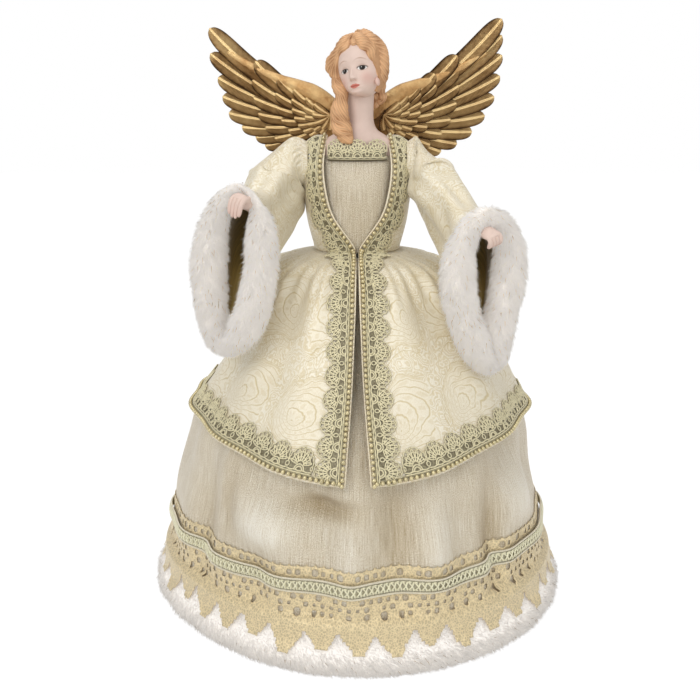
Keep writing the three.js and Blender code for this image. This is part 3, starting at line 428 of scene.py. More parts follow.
def rounded(centres, radii, columns, rows):
    """Balls: latitude in rows and longitude in columns round each centre, stretched to its three radii."""
    latitude = np.linspace(-np.pi / 2, np.pi / 2, rows)[:, None]
    ball = oval(turns(columns), np.cos(latitude), np.cos(latitude), np.sin(latitude))
    return np.asarray(centres)[..., None, None, :] + ball * np.asarray(radii, float)[..., None, None, :]


class Surface:
    """Grids of points in millimetres, gathered into one mesh with a UV map and values at its points."""

    def __init__(self):
        self.points, self.faces, self.maps, self.slots = [], [], [], []
        self.values, self.tints = [], []
        self.size = 0

    def add(self, points, uv=None, wrap=False, value=0.0, tint=None, slot=0, keep=None):
        """Adds grids (..., rows, columns, 3). Wrapped columns run all round, and then uv has one column more.
        keep says which of the quads of a single grid stay."""
        points = np.asarray(points, float)
        rows, columns = points.shape[-3:-1]
        many = points.reshape(-1, rows * columns, 3)
        r, c = np.meshgrid(np.arange(rows - 1), np.arange(columns if wrap else columns - 1), indexing="ij")
        corner_rows = np.stack([r, r, r + 1, r + 1], -1).reshape(-1, 4)
        corner_columns = np.stack([c, c + 1, c + 1, c], -1).reshape(-1, 4)
        quads = corner_rows * columns + corner_columns % columns
        shift = (self.size + np.arange(len(many)) * rows * columns)[:, None, None]
        if uv is None:
            flat = np.zeros((len(many) * len(quads), 4, 2))
        else:
            grids = np.broadcast_to(uv, points.shape[:-3] + uv.shape[-3:])
            grids = grids.reshape((len(many),) + uv.shape[-3:])
            flat = grids[:, corner_rows, corner_columns].reshape(-1, 4, 2)
        faces = (quads + shift).reshape(-1, 4)
        if keep is not None:
            faces, flat = faces[keep.ravel()], flat[keep.ravel()]
        self.extend(many.reshape(-1, 3), faces, flat, value, tint, slot, points.shape[:-1])
        return self

    def extend(self, points, faces, maps=None, value=0.0, tint=None, slot=0, shape=None):
        """Adds points and faces of one corner count, whose numbers already start after the points so far."""
        shape = shape or points.shape[:-1]
        self.points.append(points)
        self.faces.append(faces)
        self.maps.append(np.zeros(faces.shape + (2,)) if maps is None else maps)
        self.slots.append(np.full(len(faces), slot))
        self.values.append(np.broadcast_to(value, shape).reshape(-1))
        self.tints.append(np.broadcast_to([0, 0, 0] if tint is None else tint, shape + (3,)).reshape(-1, 3))
        self.size += len(points)

    def area(self):
        """Area of the faces, in square metres."""
        points, total = np.concatenate(self.points), 0
        for faces in self.faces:
            a, b, c = points[faces[:, 0]], points[faces[:, 1]], points[faces[:, 2]]
            d = points[faces[:, -1]]
            total += np.linalg.norm(np.cross(b - a, c - a), axis=-1).sum() / 2
            total += np.linalg.norm(np.cross(c - a, d - a), axis=-1).sum() / 2
        return float(total) * MM * MM

    def build(self, name, body, finishes, replaces=(), slot=None, wall=0.0, bends=None):
        """Makes the object, puts it on its body and gives it its finishes. A wall thickens it inward. bends
        are two places in millimetres, between which the piece goes over from the figure to the body."""
        mesh = bpy.data.meshes.new(name)
        points = np.concatenate(self.points) * MM
        mesh.vertices.add(len(points))
        mesh.vertices.foreach_set("co", points.ravel().astype(np.float32))
        corners = np.concatenate([faces.ravel() for faces in self.faces])
        sizes = np.concatenate([np.full(len(faces), faces.shape[1]) for faces in self.faces])
        mesh.loops.add(len(corners))
        mesh.loops.foreach_set("vertex_index", corners.astype(np.int32))
        mesh.polygons.add(len(sizes))
        mesh.polygons.foreach_set("loop_start", (np.cumsum(sizes) - sizes).astype(np.int32))
        mesh.polygons.foreach_set("material_index", np.concatenate(self.slots).astype(np.int32))
        mesh.polygons.foreach_set("use_smooth", np.ones(len(sizes), bool))
        mesh.uv_layers.new(name="cloth").data.foreach_set(
            "uv", np.concatenate([maps.reshape(-1, 2) for maps in self.maps]).ravel().astype(np.float32))
        values = np.concatenate(self.values).astype(np.float32)
        mesh.attributes.new("shade", "FLOAT", "POINT").data.foreach_set("value", values)
        tints = np.concatenate(self.tints)
        tints = np.concatenate([tints, np.ones((len(tints), 1))], 1).astype(np.float32)
        mesh.attributes.new("tint", "FLOAT_COLOR", "POINT").data.foreach_set("color", tints.ravel())
        mesh.update(calc_edges=True)
        mesh.validate()
        piece = bpy.data.objects.new(name, mesh)
        bpy.context.scene.collection.objects.link(piece)
        for finish in finishes:
            mesh.materials.append(finish)
        if wall:
            thick = piece.modifiers.new("wall", "SOLIDIFY")
            thick.thickness = wall * MM
            thick.offset = -1
        if bends:
            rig.blend(piece, "figure", body, *[tuple(np.asarray(place) * MM) for place in bends])
        else:
            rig.ride(piece, body)
        if replaces:
            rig.replaces(piece, *replaces)
        if slot:
            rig.slot(piece, slot)
        return piece


# The dress, in millimetres. Angles start at the front and grow toward +X.


def oval(turn, half_width, half_depth, z):
    """A point on an oval round the middle."""
    turn, half_width, half_depth, z = np.broadcast_arrays(turn, half_width, half_depth, z)
    return np.stack([half_width * np.sin(turn), -half_depth * np.cos(turn), z], -1)


class Dress:
    """The surfaces of the gown and the coat: ovals whose half-width and half-depth follow curves of the
    height. Each curve runs over a share of its part's height, from 0 at the foot to 1 at the top, but
    skirt_opening runs down from the waist. The folds of drape are given by their direction in degrees,
    height, half-angle, half-height and depth."""

    bodice_width = staticmethod(through((0, 30), (0.25, 35), (0.48, 37.5), (0.82, 41), (1, 39)))
    bodice_depth = staticmethod(through((0, 25), (0.48, 29), (0.66, 27), (0.82, 19.4), (0.94, 9), (1, 1.2)))
    bodice_opening = staticmethod(through(
        (0, 1.2), (0.06, 2), (0.33, 16.5), (0.55, 21.5), (0.77, 23), (1, 20.5)))
    skirt_opening = staticmethod(through((0, 1.2), (0.2, 1.4), (0.55, 4), (1.1, 8.5)))
    gown_flare = staticmethod(through(
        (0, 1), (0.12, 0.985), (0.22, 0.955), (0.45, 0.85), (0.56, 0.75), (0.71, 0.47), (0.91, 0.25),
        (0.97, 0.14), (1, 0)))
    gown_fold = staticmethod(through((0, 0.5), (0.3, 0.8), (0.6, 1), (0.9, 0.5), (1, 0)))
    hip_flare = staticmethod(through(
        (-0.2, 1.09), (0, 0.97), (0.2, 0.82), (0.4, 0.68), (0.6, 0.54), (0.8, 0.42), (0.93, 0.3), (1, 0)))
    front_flare = staticmethod(through(
        (-0.2, 1.12), (0, 1), (0.2, 0.81), (0.4, 0.64), (0.6, 0.51), (0.8, 0.37), (0.93, 0.2), (1, 0)))
    coat_fold = staticmethod(through((-0.2, 0.4), (0.2, 0.5), (0.85, 1), (1, 0)))
    big_folds = ((-27, 90, 8, 15, 8.5), (-9, 106, 9, 6, -9), (43, 62, 4, 45, -8), (57, 95, 8, 20, 6),
                 (-29, 52, 4, 18, -3), (-54, 65, 5, 30, -4), (12, 85, 4.5, 32, -5), (23, 82, 5, 28, 5),
                 (-2, 68, 4, 26, 4), (-41, 100, 4, 28, -5), (96, 66, 9, 22, -3), (150, 80, 9, 40, -4),
                 (-96, 66, 9, 22, -3), (-140, 80, 9, 40, -4))
    shoulder_slope = 8

    def __init__(self, scene):
        sizes = scene.angel_dress
        self.waist = sizes.waist_height / MM
        self.bodice_height = sizes.bodice_height / MM
        self.ridge = self.waist + self.bodice_height
        self.neckline = self.ridge - sizes.neckline_drop / MM
        self.hem_radius = sizes.hem_radius / MM
        self.coat_length = sizes.coat_length / MM
        self.coat_hem = self.waist - self.coat_length
        self.coat_radius = sizes.coat_hem_radius / MM
        self.corner_drop = sizes.corner_drop / MM
        self.waist_width = sizes.waist_half_width / MM
        self.waist_depth = sizes.waist_half_depth / MM
        self.inset = sizes.gown_inset / MM
        self.gown_folds = sizes.gown_folds
        self.coat_folds = sizes.coat_folds
        self.front_hem = self.coat_hem - self.corner_drop
        self.arm_clear = (scene.angel_figure.pivot_out - scene.angel_figure.shoulder_ball) / MM - 1

    def bodice(self, turn, z, out=0.0):
        """The coat above the waist."""
        rise = (z - self.waist) / self.bodice_height
        points = oval(turn, self.bodice_width(rise) + out, self.bodice_depth(rise) + out, z)
        far_out = blend_in(27, 43, np.abs(points[..., 0]))
        points[..., 2] -= self.shoulder_slope * far_out * blend_in(0.75, 1, rise)
        return points

    def under(self, turn, z, out=0.0):
        """The gown above the waist, narrow enough to pass between the armholes."""
        rise = (z - self.waist) / self.bodice_height
        half_width = np.minimum(self.bodice_width(rise), self.arm_clear + self.inset) - self.inset
        return oval(turn, half_width + out, self.bodice_depth(rise) - self.inset + out, z)

    def drape(self, turn, z):
        """Big soft folds of the gown: a sum of rounded swellings and hollows."""
        way = np.degrees(signed(turn))
        total = 0
        for middle, height, half_angle, half_height, depth in self.big_folds:
            total = total + depth * bell((way - middle) / half_angle) * bell((z - height) / half_height)
        return total

    def dent(self, turn):
        """How far the hem is pushed in, at the front and most at the front left."""
        return 6.5 * bell((signed(turn) + 0.8) / 0.5) + 1.8 * bell((signed(turn) - 0.15) / 0.8)

    def gown(self, turn, z, out=0.0):
        """The gown below the waist, with soft folds of two uneven waves."""
        rise = z / self.waist
        flare = self.gown_flare(rise)
        wave = 0.75 * np.cos(self.gown_folds * turn + 0.9 * np.sin(2 * turn + 0.6))
        wave = wave + 0.35 * np.cos(9 * turn + 1.3 * np.sin(3 * turn))
        sag = np.cos(7 * turn + 1.5 * np.sin(2 * turn) + 14 * rise) + 0.6 * np.sin(11 * turn - 9 * rise)
        extra = out + 2.4 * self.gown_fold(rise) * wave + 3 * bell((rise - 0.4) / 0.13) * (sag - 0.5)
        extra = extra - self.dent(turn) * (1 - blend_in(0.1, 0.4, rise)) + self.drape(turn, z)
        half_width = mix(self.waist_width - self.inset, self.hem_radius, flare)
        half_depth = mix(self.waist_depth - self.inset, self.hem_radius, flare)
        return oval(turn, half_width + extra, half_depth + extra, z)

    def coat_skirt(self, turn, z, out=0.0):
        """The coat below the waist: fuller at the hips than in front, with long folds and fine gathers at
        the waist."""
        rise = (z - self.coat_hem) / self.coat_length
        front = bell(signed(turn) / 0.7)
        flare = mix(self.hip_flare(rise), self.front_flare(rise), front)
        long_fold = np.cos(self.coat_folds * turn + 0.8 * np.sin(3 * turn + 0.4))
        gathers = np.cos(46 * turn + 2 * np.sin(4 * turn))
        extra = out + 3.4 * self.coat_fold(rise) * long_fold * (1 - 0.6 * front)
        extra = extra + 2.2 * bell((rise - 0.86) / 0.1) * gathers * (1 - 0.7 * front)
        extra = extra + 6 * bell((rise - 0.36) / 0.35) * np.sin(turn)
        half_width = mix(self.waist_width, self.coat_radius, flare)
        half_depth = mix(self.waist_depth, self.coat_radius, flare)
        return oval(turn, half_width + extra, half_depth + extra, z)

    def coat(self, turn, z, out=0.0):
        """The whole coat."""
        above = np.asarray(z) >= self.waist
        return np.where(above[..., None], self.bodice(turn, z, out), self.coat_skirt(turn, z, out))

    def coat_normal(self, turn, z):
        """Square to the coat."""
        across = self.coat(turn + 0.01, z) - self.coat(turn - 0.01, z)
        return unit(np.cross(across, self.coat(turn, z + 1.5) - self.coat(turn, z - 1.5)))

    def hem(self, turn):
        """Height of the coat hem, lowest at the front corners."""
        return self.coat_hem - self.corner_drop * bell(signed(turn) / math.radians(38))

    def opening(self, z):
        """Half-width of the coat's front opening."""
        above = z - self.waist
        lower = self.skirt_opening(-above / (self.coat_length + self.corner_drop))
        return np.where(above >= 0, self.bodice_opening(above / self.bodice_height), lower)

    def coat_turn(self, x, z):
        """The angle on the coat at a distance from the middle of the front."""
        half_width = self.coat(np.full_like(z, np.pi / 2), z)[..., 0]
        return np.arcsin(np.clip(x / half_width, -0.98, 0.98))

    def on_coat(self, points, lift):
        """Points moved onto the coat at their own height and direction, lifted square to it, and the
        coat's normals there. The lift is a little more at the waist seam."""
        z = points[..., 2]
        wide = self.coat(np.full_like(z, np.pi / 2), z)[..., 0]
        deep = -self.coat(np.zeros_like(z), z)[..., 1]
        turn = np.arctan2(points[..., 0] / wide, -points[..., 1] / deep)
        normal = self.coat_normal(turn, z)
        stand = np.asarray(lift) + 1.2 * bell((z - self.waist) / 6)
        return self.coat(turn, z) + normal * stand[..., None], normal


# Finishes


class Value:
    """A number that a material's nodes work out. Plain sums with it make the nodes for them."""

    def __init__(self, look, socket):
        self.look, self.socket = look, socket

    def __add__(self, other):
        return self.look.math("ADD", self, other)

    def __sub__(self, other):
        return self.look.math("SUBTRACT", self, other)

    def __rsub__(self, other):
        return self.look.math("SUBTRACT", other, self)

    def __mul__(self, other):
        return self.look.math("MULTIPLY", self, other)

    def __truediv__(self, other):
        return self.look.math("DIVIDE", self, other)

    def __mod__(self, other):
        return self.look.math("FLOORED_MODULO", self, other)

    def __abs__(self):
        return self.look.math("ABSOLUTE", self)


class Finish:
    """A node material. What is even is set on the shader's own sockets, and textures drive the rest."""

    def __init__(self, name, **sockets):
        self.material = bpy.data.materials.new(name)
        self.material.use_nodes = True
        self.tree = self.material.node_tree
        self.shader = self.tree.nodes["Principled BSDF"]
        self.set(**sockets)

    def set(self, **sockets):
        """Sets or joins sockets of the shader, named with underscores."""
        for name, value in sockets.items():
            self.join(self.shader.inputs[name.replace("_", " ")], value)

    def join(self, socket, value):
        """Joins a socket to another one, or gives it a value."""
        value = value.socket if isinstance(value, Value) else value
        if isinstance(value, bpy.types.NodeSocket):
            self.tree.links.new(value, socket)
        elif hasattr(value, "__len__") and len(value) == 3 and socket.type == "RGBA":
            socket.default_value = (*value, 1)
        else:
            socket.default_value = value

    def node(self, kind, inputs=(), **settings):
        """A node with settings and inputs, which are numbered or named."""
        node = self.tree.nodes.new(kind)
        for name, value in settings.items():
            setattr(node, name, value)
        for name, value in dict(inputs).items():
            self.join(node.inputs[name], value)
        return node

    def math(self, operation, a, b=0.0):
        """A value from one or two others."""
        return Value(self, self.node("ShaderNodeMath", {0: a, 1: b}, operation=operation).outputs[0])

    def mapped(self, scale, source="UV"):
        """The piece's UV map or own coordinates, scaled."""
        place = self.node("ShaderNodeTexCoord").outputs[source]
        return self.node("ShaderNodeMapping", {"Vector": place, "Scale": scale}).outputs[0]

    def across_and_up(self):
        """The two numbers of the UV map, in millimetres."""
        place = self.node("ShaderNodeSeparateXYZ", {0: self.mapped((1, 1, 1))})
        return Value(self, place.outputs["X"]), Value(self, place.outputs["Y"])

    def noise(self, vector, scale, detail, roughness):
        """Cloudy noise."""
        inputs = {"Vector": vector, "Scale": scale, "Detail": detail, "Roughness": roughness}
        return Value(self, self.node("ShaderNodeTexNoise", inputs).outputs["Fac"])

    def cloth_noise(self, across, up, detail=3.0, roughness=0.55):
        """Noise on the UV map, with its grains per millimetre across and up."""
        return self.noise(self.mapped((across, up, 1)), 1.0, detail, roughness)

    def own_noise(self, grains, detail=3.0, roughness=0.55):
        """Noise in the piece's own coordinates, with its grains per metre."""
        return self.noise(self.mapped((grains, grains, grains), "Object"), 1.0, detail, roughness)

    def value(self):
        """The value at the mesh's points."""
        return Value(self, self.node("ShaderNodeAttribute", attribute_name="shade").outputs["Fac"])

    def tint(self):
        """The colour at the mesh's points."""
        return self.node("ShaderNodeAttribute", attribute_name="tint").outputs["Color"]

    def ramp(self, factor, *stops):
        """Colours at places along a factor."""
        node = self.node("ShaderNodeValToRGB", {"Fac": factor})
        while len(node.color_ramp.elements) < len(stops):
            node.color_ramp.elements.new(0.5)
        for element, (place, shade) in zip(node.color_ramp.elements, stops):
            element.position = place
            element.color = (*shade, 1)
        return node.outputs["Color"]

    def levels(self, factor, low, high, start=0.0, end=1.0):
        """A value moved from one range to another and kept inside it."""
        inputs = {"Value": factor, "From Min": low, "From Max": high, "To Min": start, "To Max": end}
        return Value(self, self.node("ShaderNodeMapRange", inputs).outputs["Result"])

    def between(self, factor, a, b, blend="MIX"):
        """Mix of two colours."""
        node = self.node("ShaderNodeMix", data_type="RGBA", blend_type=blend)
        for name, value in (("Factor", factor), (6, a), (7, b)):
            self.join(node.inputs[name], value)
        return node.outputs[2]

    def bump(self, height, strength, distance):
        """Relief in metres on the shader's normal."""
        inputs = {"Height": height, "Strength": strength, "Distance": distance}
        self.set(Normal=self.node("ShaderNodeBump", inputs).outputs["Normal"])
        return self.material


def toned(colour, share):
    """A colour made darker or lighter."""
    return [min(1, level * share) for level in colour]


def finish_lame(tones):
    """Crinkled metallic cloth: fine bright and dull threads run up the cloth, with slubs of uneven length
    and a fine sparkle, with painted highlight on the swellings and painted shade in the hollows of the folds."""
    look = Finish("crinkled_lame", Metallic=0.5, Sheen_Weight=0.2, Sheen_Roughness=0.4)
    threads = look.cloth_noise(4.2, 0.06, 3.0, 0.6)
    slubs = look.cloth_noise(1.6, 0.02, 3.0, 0.6)
    crinkle = look.cloth_noise(0.3, 0.75, 4.0, 0.7)
    sparkle = look.cloth_noise(2.2, 1.5, 3.0, 0.75)
    # The value adds a painted highlight on the gown's swellings and painted shade in its hollows.
    tone = threads * 0.3 + slubs * 0.12 + sparkle * 0.58 + look.value() * 0.06
    look.set(Base_Color=look.ramp(tone, (0.4, tones.lame_dark), (0.49, tones.lame), (0.58, tones.lame_light)))
    look.set(Roughness=look.levels(crinkle, 0.3, 0.7, 0.28, 0.5))
    return look.bump(tone + crinkle * 0.9, 0.7, 0.0013)


def paisley(look, cell_width, cell_height):
    """Curved drops in staggered rows that wander a little. Round the drop's heart, the distance is divided
    by a radius that grows to a point on one side, and the direction winds with the distance, so that equal
    shares are drops inside drops. Returns the share, fine scrolling lines for the places between, and the
    direction."""
    u, v = look.across_and_up()
    wander = look.cloth_noise(0.05, 0.05, 2.0, 0.5) * 12.0
    u, v = u + wander, v - wander
    odd = look.math("FLOOR", v / cell_height) % 2.0
    x = (u + odd * (cell_width * 0.5)) % cell_width - cell_width * 0.5
    x = x * (1.0 - odd * 2.0)
    y = v % cell_height - cell_height * 0.42
    reach = look.math("SQRT", x * x + y * y)
    turn = look.math("ARCTAN2", x, y) - reach * (1.9 / cell_height) - 0.35
    turn = (turn + math.pi) % TURN - math.pi
    point = look.math("POWER", look.math("COSINE", turn * 0.5), 7.0)
    radius = (point * 0.62 + 0.27) * cell_width
    petals = abs(look.math("SINE", turn * 11.0)) * 0.012
    scrolls = abs(look.math("SINE", look.cloth_noise(0.045, 0.045, 3.0, 0.5) * 70.0))
    return reach / radius - petals, scrolls, turn


def finish_brocade(tones):
    """Ivory brocade: pearly drops with gold outlines inside one another, scrolls between them, and fine
    yarns."""
    look = Finish("paisley_brocade", Metallic=0.12, Sheen_Weight=0.3, Sheen_Roughness=0.35)
    share, scrolls, turn = paisley(look, cell_width=50.0, cell_height=62.0)
    yarn = look.cloth_noise(2.2, 0.7, 3.0, 0.65)
    worn = look.cloth_noise(0.05, 0.05, 2.0, 0.5)
    inside = look.levels(share, 1.03, 0.97)
    bands = abs(look.math("SINE", share * 17.0))
    lines = look.levels(bands, 0.3, 0.08) * look.levels(share, 1.6, 1.3)
    seeds = look.math("SINE", turn * 14.0) * look.levels(bands, 0.6, 0.9)
    seeds = look.levels(seeds, 0.2, 0.6) * look.levels(share, 1.3, 1.2)
    outside = look.levels(scrolls, 0.55, 0.9) * look.levels(share, 1.0, 1.15)
    pearly = look.math("MAXIMUM", inside * 0.5, outside * 0.75)
    gold = look.math("MAXIMUM", lines, seeds * 0.35)
    ground = look.between(look.levels(yarn, 0.35, 0.65), tones.brocade_gold, tones.brocade)
    ground = look.between(look.levels(worn, 0.35, 0.65, 0.1, 0.55), ground, tones.brocade)
    cloth = look.between(pearly * look.levels(yarn, 0.25, 0.6, 0.5, 1.0), ground, tones.brocade_motif)
    look.set(Base_Color=look.between(gold * 0.85, cloth, tones.brocade_gold))
    look.set(Roughness=look.levels(pearly, 0.0, 1.0, 0.5, 0.36))
    return look.bump(pearly + yarn * 0.7 - gold, 0.4, 0.0005)


def finish_thread(name, light, dark, grains, metallic=0.15, roughness=0.5):
    """Twisted cord: painted highlight on its crowns and painted shade in its hollows, from the value, with
    fine uneven fibres.
    """
    look = Finish(name, Metallic=metallic, Roughness=roughness, Sheen_Weight=0.2)
    fibres = look.own_noise(grains, 3.0, 0.65)
    # The value paints the cord's light and shade; the palest stop is a painted highlight.
    tone = look.value() * 0.65 + fibres * 0.5
    look.set(Base_Color=look.ramp(tone, (0.2, dark), (0.62, light), (0.95, toned(light, 1.5))))
    return look.bump(fibres, 0.5, 0.0004)


def finish_net(tones):
    """Gold net: bright tangled threads over a duller ground."""
    look = Finish("gold_net", Metallic=0.3, Roughness=0.42, Sheen_Weight=0.2)
    place = look.mapped((1, 1, 1))
    tangle = look.node("ShaderNodeTexVoronoi", {"Vector": place, "Scale": 0.55}, feature="DISTANCE_TO_EDGE")
    threads = look.levels(tangle.outputs["Distance"], 0.16, 0.02)
    tone = threads * 0.3 + look.noise(place, 1.3, 3.0, 0.7) * 0.75 + look.value() * 0.25
    dark, light = toned(tones.skirt_lace, 0.6), toned(tones.skirt_lace, 1.35)
    look.set(Base_Color=look.ramp(tone, (0.3, dark), (0.55, tones.skirt_lace), (0.85, light)))
    return look.bump(tone, 0.6, 0.0006)


def finish_pearl(tones):
    """Pearly beads: a warm body under a clear coat, a little uneven in tone."""
    look = Finish("pearl_bead", Metallic=0.6, Roughness=0.25, Coat_Weight=0.4, Coat_Roughness=0.12)
    uneven = look.own_noise(320, 2.0)
    look.set(Base_Color=look.ramp(uneven, (0.3, toned(tones.pearl, 0.72)), (0.6, tones.pearl)))
    return look.material


def finish_fur(tones, name, base, glow=0.19, bright=1.0):
    """White pile with painted shade at its roots and paler tips, or the base that it grows on, both with a
    faint painted glow.
    """
    # The emission is a painted glow that stands in for light scattered through the pile; bright below 1 makes a copy
    # with painted shade.
    look = Finish(name, Roughness=0.85, Emission_Color=tones.fur, Emission_Strength=glow)
    tufts = look.own_noise(140)
    root, tip = toned(tones.fur, bright * (0.92 if base else 0.8)), toned(tones.fur, bright)
    look.set(Base_Color=look.ramp(look.value() * 0.7 + tufts * 0.5, (0.1, root), (0.7, tip)))
    return look.bump(tufts, 0.6, 0.001) if base else look.material


def finish_fleck(tones):
    """Gold hairs scattered through the fur, uneven in tone."""
    look = Finish("fur_fleck", Metallic=0.3, Roughness=0.45)
    uneven = look.own_noise(90, 2.0)
    look.set(Base_Color=look.ramp(uneven, (0.35, toned(tones.fleck, 0.5)), (0.65, tones.fleck)))
    return look.material


def finish_satin(tones):
    """Lining satin: long soft streaks of sheen."""
    look = Finish("lining_satin", Metallic=0.25, Roughness=0.38, Sheen_Weight=0.3)
    streaks = look.cloth_noise(0.5, 0.06)
    look.set(Base_Color=look.ramp(streaks, (0.3, toned(tones.lining, 0.55)), (0.62, tones.lining)))
    return look.bump(streaks, 0.3, 0.0008)


def finish_bisque():
    """Painted bisque: matt glaze over the colours at the mesh's points, with a faint speckle."""
    look = Finish("painted_bisque", Roughness=0.5, Specular_IOR_Level=0.35)
    speckle = look.own_noise(260)
    speckled = look.ramp(speckle, (0.3, (0.6, 0.55, 0.5)), (0.7, (1, 1, 1)))
    look.set(Base_Color=look.between(0.12, look.tint(), speckled, "MULTIPLY"))
    return look.bump(speckle, 0.12, 0.0004)


def finish_hair(tones):
    """Moulded hair: the value paints shade in the hollows between the strands and under the locks, and
    highlights on the crowns.
    """
    look = Finish("moulded_hair", Roughness=0.58)
    uneven = look.own_noise(240)
    tone = look.value() * 0.75 + uneven * 0.3
    light = toned(tones.hair, 1.35)
    look.set(Base_Color=look.ramp(tone, (0.12, tones.hair_dark), (0.5, tones.hair), (0.92, light)))
    return look.bump(uneven, 0.2, 0.0004)


def finish_gilt(tones):
    """Antique gold casting: slanting barbs on the feathers, brown wash in the hollows and rubbed ridges. The
    value also paints a shadow along the feather edges where they overlap and a highlight at the tips.
    """
    look = Finish("antique_gilt", Metallic=0.85)
    side, run = look.across_and_up()
    side = abs(side)
    grain = look.own_noise(420, 4.0, 0.65)
    cloud = look.own_noise(60)
    barbs = look.math("SINE", run * 4.6 - side * 5.0 + cloud * 6.0) * look.levels(side, 0.7, 1.3)
    tone = look.value() * 0.8 + grain * 0.25 + barbs * 0.13 + look.levels(cloud, 0.3, 0.7, -0.16, 0.14)
    look.set(Base_Color=look.ramp(tone, (0.2, tones.gilt_dark), (0.5, tones.gilt), (0.84, tones.gilt_light)))
    look.set(Roughness=look.levels(grain, 0.3, 0.7, 0.32, 0.52))
    return look.bump(barbs * 0.6 + grain, 0.9, 0.001)


def finish_plain(name, shade, roughness, metallic, grains, depth):
    """A plain inner material with its own grain."""
    look = Finish(name, Metallic=metallic)
    grain = look.own_noise(grains, 4.0, 0.6)
    look.set(Base_Color=look.ramp(grain, (0.3, toned(shade, 0.7)), (0.65, shade)))
    look.set(Roughness=look.levels(grain, 0.3, 0.7, roughness * 0.85, roughness * 1.1))
    return look.bump(grain, 0.3, depth)


FINISHES = {}


def finishes(scene):
    """All the finishes, made once."""
    if not FINISHES:
        tones = scene.angel_colours
        # lace_shade is the dark of the lace cords' painted shade, the bead band's darker fibres and the neck cord's
        # own colour.
        lace, lace_shade, piping = tones.guipure, tones.guipure_dark, tones.piping
        chain, rope = tones.braid, tones.braid_edge
        FINISHES.update(
            lame=finish_lame(tones),
            brocade=finish_brocade(tones),
            guipure=finish_thread("guipure_cord", lace, lace_shade, 700, 0.2, 0.48),
            band=finish_thread("bead_band", toned(lace, 0.8), lace_shade, 500),
            piping=finish_thread("cream_piping", piping, toned(piping, 0.7), 500, 0.05),
            skirt_lace=finish_net(tones),
            braid=finish_thread("braid_chain", chain, toned(chain, 0.45), 600, 0.2),
            rope=finish_thread("braid_rope", rope, toned(rope, 0.75), 600, 0.0),
            cord=finish_thread("neck_cord", lace_shade, toned(lace_shade, 0.4), 500),
            pearl=finish_pearl(tones),
            fur=finish_fur(tones, "fur_pile", False),
            hide=finish_fur(tones, "fur_base", True),
            # The hem's fur is a dimmer copy of the cuffs' fur: painted shade.
            hem_fur=finish_fur(tones, "hem_fur_pile", False, 0.2, 0.9),
            hem_hide=finish_fur(tones, "hem_fur_base", True, 0.2, 0.9),
            fleck=finish_fleck(tones),
            satin=finish_satin(tones),
            bisque=finish_bisque(),
            hair=finish_hair(tones),
            gilt=finish_gilt(tones),
            net=finish_plain("stiff_net", (0.86, 0.82, 0.74), 0.8, 0.0, 900, 0.0006),
            card=finish_plain("card_board", (0.58, 0.47, 0.3), 0.9, 0.0, 300, 0.0004),
            plastic=finish_plain("core_plastic", (0.78, 0.73, 0.63), 0.5, 0.0, 200, 0.0002),
            steel=finish_plain("bright_steel", (0.6, 0.6, 0.58), 0.32, 1.0, 600, 0.0002),
        )
    return FINISHES


# Gown and inner frame


def columns_round(number):
    """Angles all round, starting at the back so that a seam lies there."""
    return np.pi + turns(number)


def cloth_map(points, wrap):
    """UV in millimetres: how far apart the columns are in most rows, and the mean distance up them."""
    closed = np.concatenate([points, points[:, :1]], 1) if wrap else points
    across = np.linalg.norm(np.diff(closed, axis=1), axis=-1)
    u = np.concatenate([[0], np.cumsum(np.quantile(across, 0.75, axis=0))])
    up = np.linalg.norm(np.diff(closed, axis=0), axis=-1).mean(1)
    v = np.concatenate([[0], np.cumsum(up)])
    return np.stack(np.meshgrid(u, v), -1)


def flat_size(points, wrap):
    """Width and length of a cloth, in metres: its longest row and its longest column."""
    closed = np.concatenate([points, points[:, :1]], 1) if wrap else points
    width = np.linalg.norm(np.diff(closed, axis=1), axis=-1).sum(1).max()
    tall = np.linalg.norm(np.diff(closed, axis=0), axis=-1).sum(0).max()
    return float(width) * MM, float(tall) * MM


def cloth_sheet(name, body, points, wrap, finish, replaces, slot, held, rests_on, wall=0.9, keep=None,
                bends=None, value=0.0):
    """A sheet of cloth on a grid, with a wall inside its face. Returns it and what to say of the sheet."""
    surface = Surface().add(points, cloth_map(points, wrap), wrap, value=value, keep=keep)
    piece = surface.build(name, body, [finish], replaces, slot, wall, bends)
    flat = flat_size(points, wrap)
    area = min(surface.area(), flat[0] * flat[1])
    return piece, dict(flat=flat, held=held, rests_on=rests_on, area=area)


class ANGEL_OT_inner_frame(bpy.types.Operator):
    """Gives the inner pieces their finishes and makes the stiff underskirt"""

    bl_idname = "angel.inner_frame"
    bl_label = "Inner Frame"

    def execute(self, context):
        looks = finishes(context.scene)
        plain = {"cone_former": "card", "torso_core": "plastic", "shoulder_wire": "steel"}
        for name, _ in SIDES:
            plain[f"wing_screw_{name}_lower"] = "steel"
            plain[f"wing_screw_{name}_upper"] = "steel"
        for node, look in plain.items():
            frame["nodes"][node].data.materials.clear()
            frame["nodes"][node].data.materials.append(looks[look])
        dress = Dress(context.scene)
        z = np.linspace(0.05, 0.99, 60)[:, None] * dress.waist
        points = dress.gown(columns_round(240)[None, :], z, -3.2)
        piece, cut = cloth_sheet("stiff_underskirt_net", "figure", points, True, looks["net"],
                                 ["stiff_underskirt"], "stiff_net", "hung", ["torso_core"])
        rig.sheet(piece, **cut)
        return {"FINISHED"}


